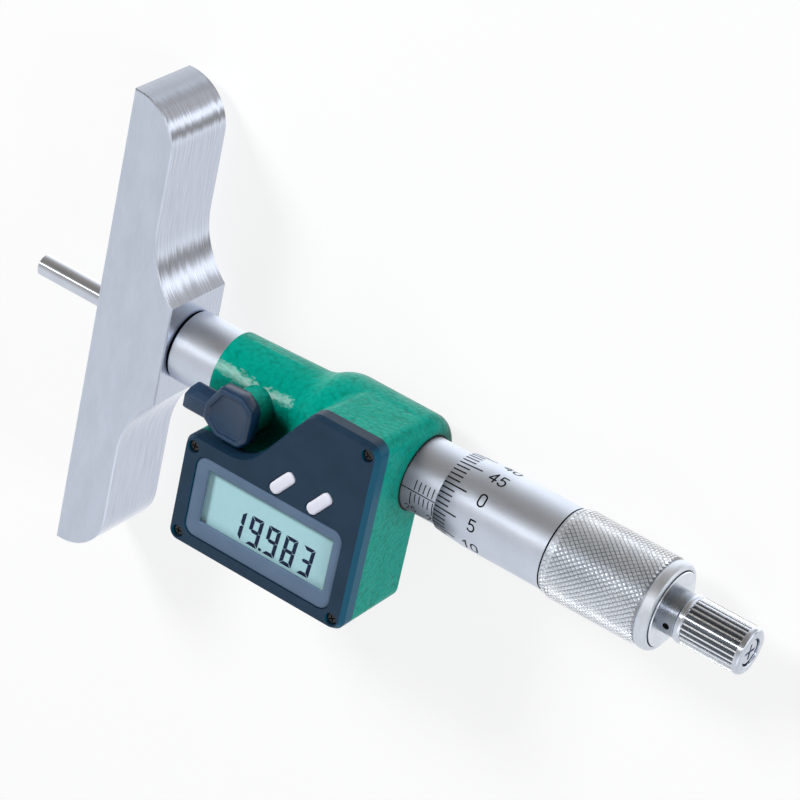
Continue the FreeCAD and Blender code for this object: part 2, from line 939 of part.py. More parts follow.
def thimble_cap():
    """Cap that holds the rod, with the polished neck and stem of the ratchet."""
    skirt = cap_radius - 0.4 - seat_gap
    skirt_start = rod_seat + 2 * rod_nut_thickness + 0.4
    shelf = thimble_end - 1.5 + seat_gap
    body = turned(
        [
            (skirt_start, 0),
            (skirt_start, skirt),
            (shelf, skirt),
            (shelf, cap_radius),
            (cap_face - 0.15, cap_radius),
            (cap_face, cap_radius - 0.15),
            (cap_face, neck_radius),
            (neck_end - 0.1, neck_radius),
            (neck_end, neck_radius - 0.1),
            (neck_end, stem_radius),
            (knob_flute_end - 1.9, stem_radius),
            (knob_flute_end - 1.9, 0),
        ]
    )
    hole = Part.makeCylinder(spanner_hole_radius, 3, Vector(spanner_hole_x, 0, 0), Vector(0, 1, 0))
    hole.translate(Vector(0, neck_radius - 2, 0))
    hole.rotate(origin, axis_x, spanner_hole_angle)
    end_bore = tube(knob_flute_end - 6, knob_flute_end, 1.3 + seat_gap)
    return body.cut(hole).cut(end_bore)


def ratchet_knob():
    """Fluted ratchet knob, hollow for the clutch ring and spring."""
    start = neck_end + moving_gap
    body = turned(
        [
            (start, 0),
            (start, knob_collar_radius - 0.35),
            (start + 0.35, knob_collar_radius),
            (knob_flute_start - 0.25, knob_collar_radius),
            (knob_flute_start, knob_radius),
            (knob_end - knob_end_round, knob_radius),
            (knob_end - knob_end_round * 0.35, knob_radius - knob_end_round * 0.25),
            (knob_end, knob_radius - knob_end_round),
            (knob_end, 0),
        ]
    )
    flutes = []
    for index in range(flute_count):
        flute = block(
            knob_flute_start,
            knob_flute_end,
            knob_radius - flute_depth,
            knob_radius + 1,
            -flute_width / 2,
            flute_width / 2,
        )
        flute.rotate(origin, axis_x, 360.0 * index / flute_count)
        flutes.append(flute)
    body = body.cut(Part.makeCompound(flutes))
    room = knob_radius - knob_wall
    body = body.cut(tube(start + 0.9, knob_flute_end - 1.7, room))
    body = body.cut(tube(start - 1, knob_flute_end, stem_radius + moving_gap))
    return body.cut(tube(knob_flute_end - 0.1, knob_end + 1, end_screw_recess))


def ratchet_ring():
    """Toothed clutch ring, keyed to the stem."""
    start = neck_end + moving_gap + 0.9 + moving_gap
    ring = tube(start, start + 1.6, knob_radius - knob_wall - moving_gap, stem_radius + seat_gap)
    notches = []
    for index in range(12):
        notch = block(start - 0.1, start + 0.35, -0.3, 0.3, stem_radius + 0.7, knob_radius)
        notch.rotate(origin, axis_x, 30 * index)
        notches.append(notch)
    return ring.cut(Part.makeCompound(notches))


def ratchet_spring():
    """Compression spring of flat wire."""
    start = neck_end + 2 * moving_gap + 0.9 + 1.6 + 0.05
    end = knob_flute_end - 1.7 - moving_gap
    wire_radius = 0.25
    coil_radius = stem_radius + 0.75
    helix = Part.makeHelix(
        (end - start - 2 * wire_radius) / 4, end - start - 2 * wire_radius, coil_radius
    )
    section = Part.makePolygon(
        [
            Vector(coil_radius - wire_radius, 0, -wire_radius),
            Vector(coil_radius + wire_radius, 0, -wire_radius),
            Vector(coil_radius + wire_radius, 0, wire_radius),
            Vector(coil_radius - wire_radius, 0, wire_radius),
            Vector(coil_radius - wire_radius, 0, -wire_radius),
        ]
    )
    spring = Part.Wire(helix).makePipeShell([section], True, True)
    spring.rotate(origin, Vector(0, 1, 0), 90)
    spring.translate(Vector(start + wire_radius, 0, 0))
    return spring


def ratchet_screw():
    head_start = knob_flute_end + moving_gap / 2
    head_end = knob_end - 0.35
    head = tube(head_start, head_end, end_screw_radius)
    rim = [edge for edge in head.Edges if abs(edge.CenterOfMass.x - head_end) < 1e-6]
    head = head.makeChamfer(0.15, rim)
    shank = tube(knob_flute_end - 5.5, head_start, 1.3)
    recess = cross_recess(end_screw_radius * 0.66, 0.5)
    recess.rotate(origin, Vector(0, 1, 0), 90)
    recess.translate(Vector(head_end, 0, 0))
    return head.fuse(shank).removeSplitter().cut(recess)


def battery():
    bottom = box_back + battery_cap_thickness + seat_gap
    cell = post(battery_x, battery_y, bottom, bottom + battery_height, battery_radius)
    return cell.makeChamfer(0.3, [edge for edge in cell.Edges if edge.Length > battery_radius * 6])


def battery_contact():
    """Sprung strip between the cell and the board."""
    bottom = box_back + battery_cap_thickness + seat_gap + battery_height
    half = 2.0
    strip = 0.35
    left, right = battery_x - half, battery_x + half
    low, high = battery_y - 1.5, battery_y + 1.5
    leg = block(left, left + strip, low, high, bottom, board_level)
    foot = block(left, right, low, high, bottom, bottom + strip)
    head = block(left, right, low, high, board_level - strip, board_level)
    return leg.fuse([foot, head]).removeSplitter()


def battery_cap():
    """Screw cap flush with the back, with a coin slot and a seal groove."""
    cap = post(battery_x, battery_y, box_back, box_back + battery_cap_thickness, battery_cap_radius - 0.08)
    groove = post(battery_x, battery_y, box_back + 0.6, box_back + 1.2, battery_cap_radius)
    core = post(battery_x, battery_y, box_back + 0.6, box_back + 1.2, battery_cap_radius - 0.7)
    left, right = battery_x - 5, battery_x + 5
    slot = block(left, right, battery_y - 0.75, battery_y + 0.75, box_back - 1, box_back + 0.7)
    return cap.cut(groove.cut(core)).cut(slot)


def battery_seal():
    outer = post(battery_x, battery_y, box_back + 0.62, box_back + 1.18, battery_cap_radius - seat_gap)
    inner = post(battery_x, battery_y, box_back + 0.5, box_back + 1.3, battery_cap_radius - 0.7 + seat_gap)
    return outer.cut(inner)


pieces = {
    "base_bar": base_bar,
    "measuring_rod": measuring_rod,
    "rod_nuts": rod_nuts,
    "front_barrel": front_barrel,
    "front_seal": front_seal,
    "housing": casting,
    "cover_gasket": cover_gasket,
    "display_cover": display_cover,
    "window_frame": window_frame,
    "window_lens": window_lens,
    "lcd_panel": lcd_panel,
    "contact_strip": contact_strip,
    "circuit_board": circuit_board,
    "key_mat": key_mat,
    "cover_screws": cover_screws,
    "lock_lever": lock_lever,
    "lock_screw": lock_screw,
    "lock_shoe": lock_shoe,
    "spindle": spindle,
    "thrust_washer": thrust_washer,
    "rotor_bush": rotor_bush,
    "encoder_rotor": encoder_rotor,
    "encoder_stator": encoder_stator,
    "inner_sleeve": inner_sleeve,
    "adjusting_nut": adjusting_nut,
    "graduated_sleeve": graduated_sleeve,
    "sleeve_seal": sleeve_seal,
    "thimble": thimble,
    "thimble_cap": thimble_cap,
    "ratchet_knob": ratchet_knob,
    "ratchet_ring": ratchet_ring,
    "ratchet_spring": ratchet_spring,
    "ratchet_screw": ratchet_screw,
    "battery": battery,
    "battery_contact": battery_contact,
    "battery_cap": battery_cap,
    "battery_seal": battery_seal,
}

for name, make in pieces.items():
    shape = make()
    shape.exportStep("parts/%s.step" % name)
    print(name, "solids", len(shape.Solids), "valid", shape.isValid(), "volume", round(shape.Volume, 2))

for name, centre in button_xs.items():
    shape = push_button(centre)
    shape.exportStep("parts/%s.step" % name)
    print(name, "solids", len(shape.Solids), "valid", shape.isValid(), "volume", round(shape.Volume, 2))
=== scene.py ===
import math
import bpy
import bmesh
from mathutils import Matrix, Vector


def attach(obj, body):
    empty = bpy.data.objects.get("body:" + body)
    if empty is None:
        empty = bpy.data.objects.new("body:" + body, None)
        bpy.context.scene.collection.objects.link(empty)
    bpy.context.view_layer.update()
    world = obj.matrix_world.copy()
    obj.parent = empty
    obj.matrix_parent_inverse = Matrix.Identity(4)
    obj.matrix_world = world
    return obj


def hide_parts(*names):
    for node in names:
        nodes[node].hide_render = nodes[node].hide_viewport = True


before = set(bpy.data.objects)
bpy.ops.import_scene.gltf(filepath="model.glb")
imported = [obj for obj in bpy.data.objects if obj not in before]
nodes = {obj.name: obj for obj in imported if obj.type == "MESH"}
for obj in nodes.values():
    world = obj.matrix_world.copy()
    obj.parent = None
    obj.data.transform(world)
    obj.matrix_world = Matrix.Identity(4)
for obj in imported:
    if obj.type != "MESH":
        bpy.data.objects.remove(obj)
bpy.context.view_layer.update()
mm = 0.001
print("frame loaded")


# Small helpers

def linear(code):
    # an sRGB hex colour as linear light
    parts = []
    for i in (1, 3, 5):
        c = int(code[i:i + 2], 16) / 255
        parts.append(c / 12.92 if c <= 0.04045 else ((c + 0.055) / 1.055) ** 2.4)
    return (*parts, 1.0)


def fill(tree, node, values):
    # a socket, or a node's first output, is linked, a hex code becomes its colour, and the rest is set
    for key, value in values.items():
        if isinstance(value, bpy.types.Node):
            value = value.outputs[0]
        if isinstance(value, bpy.types.NodeSocket):
            tree.links.new(value, node.inputs[key])
        else:
            node.inputs[key].default_value = linear(value) if isinstance(value, str) else value


def addNode(tree, kind, inputs=None, stops=None, **settings):
    # a node with its settings, its inputs and, on a colour ramp, its stops
    node = tree.nodes.new(kind)
    for key, value in settings.items():
        setattr(node, key, value)
    fill(tree, node, inputs or {})
    if stops:
        stops = [(at, linear(tone) if isinstance(tone, str) else tone) for at, tone in stops]
        elements = node.color_ramp.elements
        elements[0].position, elements[0].color = stops[0]
        elements[1].position, elements[1].color = stops[-1]
        for position, colour in stops[1:-1]:
            elements.new(position).color = colour
    return node


def newMaterial(name):
    # the caller keeps the material itself, because the solids' own may have the same name
    material = bpy.data.materials.new(name)
    material.use_nodes = True
    tree = material.node_tree
    place = addNode(tree, "ShaderNodeTexCoord").outputs["Object"]
    return material, tree, tree.nodes["Principled BSDF"], place


def grained(tree, place, size):
    # Object coordinates counted in grains of the given size in millimetres
    return addNode(tree, "ShaderNodeVectorMath", {0: place, 1: tuple(1000 / s for s in size)},
                   operation="MULTIPLY")


def paint(piece, *materials):
    if piece.data.materials:  # clearing an empty list would still reset the faces' material numbers
        piece.data.materials.clear()
    for material in materials:
        piece.data.materials.append(material)


def link(piece):
    bpy.context.scene.collection.objects.link(piece)
    return piece


def meshPiece(name, bm, smooth=35):
    # a bmesh in millimetres becomes an object in metres
    bmesh.ops.recalc_face_normals(bm, faces=bm.faces)
    bm.transform(Matrix.Scale(mm, 4))
    mesh = bpy.data.meshes.new(name)
    bm.to_mesh(mesh)
    bm.free()
    for polygon in mesh.polygons:
        polygon.use_smooth = True
    mesh.set_sharp_from_angle(angle=math.radians(smooth))
    return link(bpy.data.objects.new(name, mesh))


def joined(first, *others):
    # the others' meshes go into the first and keep their materials
    for other in others:
        offset = len(first.data.materials)
        for material in other.data.materials:
            first.data.materials.append(material)
        bm = bmesh.new()
        bm.from_mesh(first.data)
        before = len(bm.faces)
        bm.from_mesh(other.data)
        bm.faces.ensure_lookup_table()
        for face in bm.faces[before:]:
            face.material_index += offset
        bm.to_mesh(first.data)
        bm.free()
        bpy.data.objects.remove(other)
    return first


def handIn(piece, slot, body, *replaced):
    if replaced:
        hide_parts(*replaced)
    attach(piece, body)
    return piece


def lathe(bm, profile, steps=96):
    # (x, radius) points spun about X, with the first point repeated to close
    turns = [2 * math.pi * k / steps for k in range(steps)]
    rings = []
    for x, r in profile:
        if r < 1e-6:
            rings.append([bm.verts.new((x, 0, 0))])
        else:
            rings.append([bm.verts.new((x, r * math.cos(a), r * math.sin(a))) for a in turns])
    for a, b in zip(rings, rings[1:]):
        for k in range(steps):
            j = (k + 1) % steps
            quad = [a[k % len(a)], a[j % len(a)], b[j % len(b)], b[k % len(b)]]
            unique = list(dict.fromkeys(quad))
            if len(unique) > 2:
                bm.faces.new(unique)
    bmesh.ops.remove_doubles(bm, verts=bm.verts, dist=1e-5)


def cornerRing(corners, inset, steps=5, least=0.03):
    # a closed outline with rounded corners (x, y, radius), drawn in by an amount
    count = len(corners)
    area = sum(corners[k - 1][0] * corners[k][1] - corners[k][0] * corners[k - 1][1] for k in range(count))
    sense = 1 if area > 0 else -1
    ring = []
    for k in range(count):
        here = Vector(corners[k][:2])
        u = (here - Vector(corners[k - 1][:2])).normalized()
        v = (Vector(corners[(k + 1) % count][:2]) - here).normalized()
        inU = Vector((-u.y, u.x)) * sense
        inV = Vector((-v.y, v.x)) * sense
        corner = here + (inU + inV) * (inset / (1 + inU.dot(inV)))
        swing = math.atan2(u.x * v.y - u.y * v.x, u.dot(v))
        convex = swing * sense > 0
        radius = max(corners[k][2] - inset if convex else corners[k][2] + inset, least)
        start = corner - u * radius * math.tan(abs(swing) / 2)
        side = Vector((-u.y, u.x)) * (1 if swing > 0 else -1)
        centre = start + side * radius
        for s in range(steps + 1):
            ring.append(centre + Matrix.Rotation(swing * s / steps, 2) @ (start - centre))
    return ring


def loft(bm, rings, closed=False, lid=True):
    # rings of equally many points, joined in turn, with a face over the first and the last
    loops = [[bm.verts.new(point) for point in ring] for ring in rings]
    pairs = list(zip(loops, loops[1:])) + ([(loops[-1], loops[0])] if closed else [])
    for a, b in pairs:
        for k in range(len(a)):
            j = (k + 1) % len(a)
            bm.faces.new([a[k], a[j], b[j], b[k]])
    if not closed:
        bm.faces.new(list(reversed(loops[0])))
        if lid:
            bm.faces.new(loops[-1])
    return loops


def rectangle(left, right, bottom, top, radius):
    return [(left, bottom, radius), (right, bottom, radius), (right, top, radius), (left, top, radius)]


def stacked(corners, levels, steps=5, least=0.03):
    # the same outline at several heights, each drawn in by its own amount
    return [[(p.x, p.y, z) for p in cornerRing(corners, inset, steps, least)] for inset, z in levels]


# Materials

print("materials")


def towardsRatchet(tree, away, facing, low, high):
    # painted light: one tone gives way to another as the surface turns towards the ratchet, standing in for
    # shade and reflection
    normal = addNode(tree, "ShaderNodeNewGeometry").outputs["Normal"]
    turn = addNode(tree, "ShaderNodeSeparateXYZ", {0: normal})
    share = addNode(tree, "ShaderNodeMapRange", {"Value": turn, "From Min": low, "From Max": high})
    return addNode(tree, "ShaderNodeMix", {"Factor": share, 6: away, 7: facing}, data_type="RGBA").outputs[2]


def metalFinish(name, low, high, grain, rough, relief, turned=None):
    # bare or plated metal: colour, gloss and fine relief come from one stretched grain
    material, tree, shader, place = newMaterial(name)
    streak = addNode(tree, "ShaderNodeTexNoise", {
        "Vector": grained(tree, place, grain), "Scale": 1.0, "Detail": 3.0, "Roughness": 0.55})
    cloud = addNode(tree, "ShaderNodeTexNoise", {
        "Vector": grained(tree, place, (9, 9, 9)), "Scale": 1.0, "Detail": 2.0})
    both = addNode(tree, "ShaderNodeMath", {0: streak, 1: cloud}, operation="ADD")
    share = addNode(tree, "ShaderNodeMapRange", {"Value": both, "From Min": 0.75, "From Max": 1.25})
    tone = addNode(tree, "ShaderNodeValToRGB", {"Fac": share}, [(0.0, low), (1.0, high)])
    if turned:  # painted shade and reflection: the turned sides are darker than the faced end
        tone = towardsRatchet(tree, turned, tone, 0.2, 0.7)
    fill(tree, shader, {
        "Base Color": tone,
        "Metallic": 1.0,
        "Roughness": addNode(tree, "ShaderNodeMapRange", {
            "Value": streak, "From Min": 0.3, "From Max": 0.7, "To Min": rough[0], "To Max": rough[1]}),
        "Normal": addNode(tree, "ShaderNodeBump", {
            "Height": streak, "Distance": relief * mm}),
    })
    return material


def mouldedFinish(name, low, high, rough, grain, relief, shine=0.5, side=None):
    # moulded plastic or rubber: a fine matte grain over slow changes of tone
    material, tree, shader, place = newMaterial(name)
    fine = addNode(tree, "ShaderNodeTexNoise", {
        "Vector": grained(tree, place, (grain,) * 3), "Scale": 1.0, "Detail": 2.0})
    cloud = addNode(tree, "ShaderNodeTexNoise", {
        "Vector": grained(tree, place, (6, 6, 6)), "Scale": 1.0, "Detail": 2.0})
    share = addNode(tree, "ShaderNodeMapRange", {"Value": cloud, "From Min": 0.3, "From Max": 0.7})
    tone = addNode(tree, "ShaderNodeValToRGB", {"Fac": share}, [(0.0, low), (1.0, high)])
    if side:  # painted reflection: bluer and paler where the moulding faces the ratchet
        tone = towardsRatchet(tree, tone, side, 0.35, 0.75)
    fill(tree, shader, {
        "Base Color": tone,
        "Roughness": addNode(tree, "ShaderNodeMapRange", {
            "Value": fine, "From Min": 0.3, "From Max": 0.7, "To Min": rough[0], "To Max": rough[1]}),
        "Normal": addNode(tree, "ShaderNodeBump", {
            "Height": fine, "Distance": relief * mm}),
        "Specular IOR Level": shine,
    })
    return material


# Hardened steel, ground and lapped: long marks round the curved sides, an even satin on the faces
def groundSteelFinish():
    material, tree, shader, place = newMaterial("ground_steel")
    normal = addNode(tree, "ShaderNodeNewGeometry").outputs["Normal"]
    parts = addNode(tree, "ShaderNodeSeparateXYZ", {0: normal}).outputs
    lift = addNode(tree, "ShaderNodeMath", {0: parts[2]}, operation="ABSOLUTE")
    side = addNode(tree, "ShaderNodeMapRange", {"Value": lift, "From Min": 0.3, "From Max": 0.8,
                                                "To Min": 1.0, "To Max": 0.0})
    marks = addNode(tree, "ShaderNodeTexNoise", {
        "Vector": grained(tree, place, (9, 9, 0.13)), "Scale": 1.0, "Detail": 5.0, "Roughness": 0.65})
    broad = addNode(tree, "ShaderNodeTexNoise", {
        "Vector": grained(tree, place, (12, 12, 0.7)), "Scale": 1.0, "Detail": 3.0})
    satin = addNode(tree, "ShaderNodeTexNoise", {
        "Vector": grained(tree, place, (0.16, 3, 0.16)), "Scale": 1.0, "Detail": 4.0})
    cloud = addNode(tree, "ShaderNodeTexNoise", {
        "Vector": grained(tree, place, (4, 12, 4)), "Scale": 1.0, "Detail": 2.0})
    # the marks tip the normal along the curve, which tears the edges of the dark reflections
    sway = addNode(tree, "ShaderNodeMath", {0: marks, 1: broad}, operation="ADD")
    sway = addNode(tree, "ShaderNodeMapRange", {"Value": sway, "From Min": 0.6, "From Max": 1.4,
                                                "To Min": -0.07, "To Max": 0.07})
    sway = addNode(tree, "ShaderNodeMath", {0: sway, 1: side}, operation="MULTIPLY")
    along = addNode(tree, "ShaderNodeVectorMath", {0: normal, 1: (0, 0, 1)}, operation="CROSS_PRODUCT")
    tip = addNode(tree, "ShaderNodeVectorMath", {0: along, "Scale": sway}, operation="SCALE")
    bent = addNode(tree, "ShaderNodeVectorMath", {0: normal, 1: tip}, operation="ADD")
    bent = addNode(tree, "ShaderNodeVectorMath", {0: bent}, operation="NORMALIZE")
    facing = addNode(tree, "ShaderNodeMath", {0: satin, 1: cloud}, operation="ADD")
    faceShare = addNode(tree, "ShaderNodeMapRange", {"Value": facing, "From Min": 0.7, "From Max": 1.3})
    faceTone = addNode(tree, "ShaderNodeValToRGB", {"Fac": faceShare}, [(0.0, "#BEC6D5"), (1.0, "#CAD2E1")])
    sideShare = addNode(tree, "ShaderNodeMapRange", {"Value": marks, "From Min": 0.25, "From Max": 0.75})
    sideTone = addNode(tree, "ShaderNodeValToRGB", {"Fac": sideShare},
                       [(0.0, "#B0B6C3"), (0.5, "#C3CAD9"), (1.0, "#D6DDEA")])
    tone = addNode(tree, "ShaderNodeMix", {
        "Factor": side, 6: faceTone, 7: sideTone}, data_type="RGBA").outputs[2]
    # greyer where the surface faces along Y, at the squared ends
    end = addNode(tree, "ShaderNodeMath", {0: parts[1]}, operation="ABSOLUTE")
    end = addNode(tree, "ShaderNodeMapRange", {"Value": end, "From Min": 0.8, "From Max": 0.97,
                                               "To Max": 0.8})
    fill(tree, shader, {
        "Base Color": addNode(tree, "ShaderNodeMix", {"Factor": end, 6: tone, 7: "#868B94"},
                              data_type="RGBA").outputs[2],
        "Metallic": 1.0,
        "Roughness": addNode(tree, "ShaderNodeMapRange", {
            "Value": side, "To Min": 0.42, "To Max": 0.2}),
        "Normal": addNode(tree, "ShaderNodeBump", {
            "Height": satin, "Distance": 0.004 * mm, "Normal": bent}),
    })
    return material


# Hammertone stove enamel on a casting: rounded cells about 1 mm wide under a clear gloss
def enamelFinish():
    material, tree, shader, place = newMaterial("green_enamel")
    warp = addNode(tree, "ShaderNodeTexNoise", {
        "Vector": grained(tree, place, (1.4, 1.4, 1.4)), "Scale": 1.0, "Detail": 3.0}).outputs["Color"]
    warp = addNode(tree, "ShaderNodeVectorMath", {0: warp, "Scale": 0.45}, operation="SCALE")
    moved = addNode(tree, "ShaderNodeVectorMath", {0: grained(tree, place, (0.95, 0.95, 0.95)), 1: warp},
                    operation="ADD")
    cells = addNode(tree, "ShaderNodeTexVoronoi", {"Vector": moved, "Scale": 1.0, "Smoothness": 0.35},
                    feature="SMOOTH_F1")
    small = addNode(tree, "ShaderNodeTexVoronoi", {
        "Vector": grained(tree, place, (0.55, 0.55, 0.55)), "Scale": 1.0, "Smoothness": 0.4},
        feature="SMOOTH_F1")
    cloud = addNode(tree, "ShaderNodeTexNoise", {
        "Vector": grained(tree, place, (5, 5, 5)), "Scale": 1.0, "Detail": 2.0})
    mixed = addNode(tree, "ShaderNodeMath", {0: small, 1: 0.35, 2: cells}, operation="MULTIPLY_ADD")
    share = addNode(tree, "ShaderNodeMapRange", {"Value": mixed, "From Min": 0.25, "From Max": 1.0})
    tone = addNode(tree, "ShaderNodeValToRGB", {"Fac": share}, [
        (0.0, "#009C8A"), (0.55, "#009583"), (0.85, "#008D7B"),
        (1.0, "#008170")])
    veil = addNode(tree, "ShaderNodeMapRange", {"Value": cloud, "From Min": 0.35, "From Max": 0.7,
                                                "To Max": 0.3})
    glossy = addNode(tree, "ShaderNodeLightPath").outputs["Is Glossy Ray"]
    bump = addNode(tree, "ShaderNodeBump", {"Height": mixed, "Distance": -0.1 * mm})
    # the clear skin over it is flatter, so a light is one torn patch and not many specks
    skin = addNode(tree, "ShaderNodeBump", {"Height": mixed, "Distance": -0.045 * mm})
    # painted shade: the colour darkens by ambient occlusion, as hollows between the parts hold hardly any
    # light
    occlusionShade = addNode(tree, "ShaderNodeAmbientOcclusion", {"Distance": 9 * mm}, samples=8).outputs["AO"]
    occlusionShade = addNode(tree, "ShaderNodeMapRange", {"Value": occlusionShade, "From Min": 0.4, "From Max": 0.85,
                                                  "To Min": 0.25, "To Max": 1.0})
    # painted highlight: the clear coat is laid on only where the surface faces the bright band, so the crown
    # of the tubes catches one highlight
    crown = addNode(tree, "ShaderNodeVectorMath", {0: skin, 1: (0.0, 0.485, 0.875)},
                    operation="DOT_PRODUCT").outputs["Value"]
    gloss = addNode(tree, "ShaderNodeMapRange", {
        "Value": crown, "From Min": 0.984, "From Max": 0.993, "To Min": 0.03, "To Max": 1.0})
    tone = addNode(tree, "ShaderNodeMix", {"Factor": veil, 6: tone, 7: "#008B79"},
                   data_type="RGBA").outputs[2]
    tone = addNode(tree, "ShaderNodeMix", {"Factor": occlusionShade, 6: "#001A10", 7: tone},
                   data_type="RGBA").outputs[2]
    fill(tree, shader, {
        # painted reflection: to glossy rays the enamel is dark grey, so the bright steel beside the casting
        # mirrors it dark
        "Base Color": addNode(tree, "ShaderNodeMix", {"Factor": glossy, 6: tone, 7: "#3E4749"},
                              data_type="RGBA").outputs[2],
        "Roughness": addNode(tree, "ShaderNodeMapRange", {
            "Value": cloud, "From Min": 0.3, "From Max": 0.7, "To Min": 0.3, "To Max": 0.42}),
        "Normal": bump,
        "Specular IOR Level": 0.05,
        "Specular Tint": "#3FC8A8",
        "Coat Weight": gloss,
        "Coat Roughness": 0.3,
        "Coat IOR": 2.3,
        "Coat Normal": skin,
    })
    return material


# Reflective display: silver-green speckle, shaded along the top and right edges by the frame
def displayFinish():
    material, tree, shader, place = newMaterial("display_glass")
    fine = addNode(tree, "ShaderNodeTexNoise", {
        "Vector": grained(tree, place, (0.16, 0.16, 0.16)), "Scale": 1.0, "Detail": 3.0})
    share = addNode(tree, "ShaderNodeMapRange", {"Value": fine, "From Min": 0.3, "From Max": 0.7})
    tone = addNode(tree, "ShaderNodeValToRGB", {"Fac": share}, [(0.0, "#95C6CC"), (1.0, "#BBE0E6")])
    parts = addNode(tree, "ShaderNodeSeparateXYZ", {0: place}).outputs
    top = addNode(tree, "ShaderNodeMapRange", {
        "Value": parts[1], "From Min": -12.9 * mm, "From Max": -11.5 * mm},
        interpolation_type="SMOOTHSTEP")
    right = addNode(tree, "ShaderNodeMapRange", {
        "Value": parts[0], "From Min": 66.6 * mm, "From Max": 67.7 * mm},
        interpolation_type="SMOOTHSTEP")
    edge = addNode(tree, "ShaderNodeMath", {0: top, 1: right}, operation="MAXIMUM")
    edge = addNode(tree, "ShaderNodeMath", {0: edge, 1: 0.6}, operation="MULTIPLY")
    fill(tree, shader, {
        "Base Color": addNode(tree, "ShaderNodeMix", {"Factor": edge, 6: tone, 7: "#4E8079"},
                              data_type="RGBA").outputs[2],
        "Roughness": 0.45,
        "Specular IOR Level": 0.2,
        "Normal": addNode(tree, "ShaderNodeBump", {
            "Height": fine, "Distance": 0.002 * mm}),
    })
    return material


# Clear acrylic: nearly all of it is seen through
def windowFinish():
    material, tree, shader, place = newMaterial("clear_window")
    fine = addNode(tree, "ShaderNodeTexNoise", {
        "Vector": grained(tree, place, (3, 3, 3)), "Scale": 1.0, "Detail": 2.0})
    fill(tree, shader, {
        "Base Color": addNode(tree, "ShaderNodeValToRGB", {"Fac": fine},
                              [(0.0, "#F2F8F8"), (1.0, "#FFFFFF")]),
        "Roughness": addNode(tree, "ShaderNodeMapRange", {
            "Value": fine, "To Min": 0.04, "To Max": 0.08}),
        "Alpha": 0.01,
    })
    return material


metals = {
    # darker and lighter tone, grain along X, Y and Z in mm, roughness, relief in mm, painted shade tone of
    # the turned sides
    "polished_steel": ("#BCC2CF", "#D0D5DF", (6, 0.08, 0.08), (0.07, 0.13), 0.0006),  # mirror, long lines
    "satin_chrome": ("#C2CAD8", "#CED6E3", (0.22, 0.22, 0.22), (0.38, 0.46), 0.006),  # even frosted sheen
    "bright_chrome": ("#B9C0CC", "#CDD3DE", (0.1, 2, 2), (0.12, 0.2), 0.001),  # sharp, with fine turned rings
    "knurl_steel": ("#E4E9F0", "#F1F4F8", (0.12, 0.12, 0.12), (0.3, 0.4), 0.002),  # painted highlight: paler steel on the points
    "rim_chrome": ("#CDD3DD", "#DCE1E9", (0.1, 2, 2), (0.42, 0.5), 0.001),  # painted highlight: a soft pale edge round the knurl
    "cap_chrome": ("#D2D8E2", "#E4E9F0", (0.1, 2, 2), (0.24, 0.32), 0.001, "#8A919C"),  # pale disc, neck in a painted grey of shade and reflection
    "flute_steel": ("#4B5058", "#646A73", (2, 0.1, 0.1), (0.3, 0.4), 0.001),  # painted shade: dark floors between the ribs
    "valley_steel": ("#8D939D", "#A6ACB6", (0.2, 0.2, 0.2), (0.35, 0.45), 0.001),  # painted shade: grey between the points
    "bearing_brass": ("#A07B3A", "#C19A55", (0.1, 2, 2), (0.25, 0.4), 0.003),  # warm, with turned rings
    "spring_steel": ("#8C8F94", "#B0B3B8", (0.2, 0.2, 0.2), (0.2, 0.35), 0.002),  # cold grey
    "cell_steel": ("#A9ACB2", "#C4C7CC", (0.1, 3, 3), (0.2, 0.3), 0.002),  # nickel-bright can
}
mouldings = {
    # darker and lighter tone, roughness, grain and relief in mm, strength of the shine, painted reflection
    # tone of the sides
    "cover_plastic": ("#132B3F", "#193246", (0.42, 0.52), 0.18, 0.006, 0.25, "#004F68"),  # matt navy ABS, with a painted blue-green reflection where it faces the ratchet
    "frame_plastic": ("#596E86", "#60758D", (0.38, 0.48), 0.2, 0.003, 0.25),  # smoother grey-blue ABS
    "key_plastic": ("#E0E1EE", "#E9EAF5", (0.3, 0.4), 0.2, 0.002, 0.3),  # nearly white, soft shine
    "lever_plastic": ("#0B2A44", "#12324E", (0.27, 0.36), 0.18, 0.003, 0.5),  # navy nylon, glossier
    "black_steel": ("#050608", "#0E1013", (0.3, 0.42), 0.15, 0.003, 0.5),  # oiled black oxide
    "ink_black": ("#04060A", "#090C11", (0.5, 0.6), 0.1, 0.001, 0.15),  # dull fill of an engraved line
    "gap_black": ("#040506", "#08090A", (0.7, 0.8), 0.2, 0.002, 0.05),  # a gap that sends no light back
    "black_rubber": ("#0C0C0D", "#161617", (0.6, 0.75), 0.2, 0.006, 0.2),  # painted shade: black for gaps and hollows that send no light back
    "key_silicone": ("#55565A", "#606166", (0.5, 0.65), 0.3, 0.006, 0.3),  # dull grey
    "board_green": ("#0C4A2A", "#125A34", (0.3, 0.4), 0.5, 0.006),  # solder mask over glass weave
    "disc_laminate": ("#26492F", "#305A3B", (0.3, 0.4), 0.3, 0.004),  # bare laminate
    "segment_ink": ("#001233", "#03183A", (0.5, 0.6), 0.3, 0.0005, 0.05),  # flat blue-black
}
made = {"ground_steel": groundSteelFinish()}
for name, values in metals.items():
    made[name] = metalFinish(name, *values)
for name, values in mouldings.items():
    made[name] = mouldedFinish(name, *values)
made["green_enamel"] = enamelFinish()
made["display_glass"] = displayFinish()
made["clear_window"] = windowFinish()

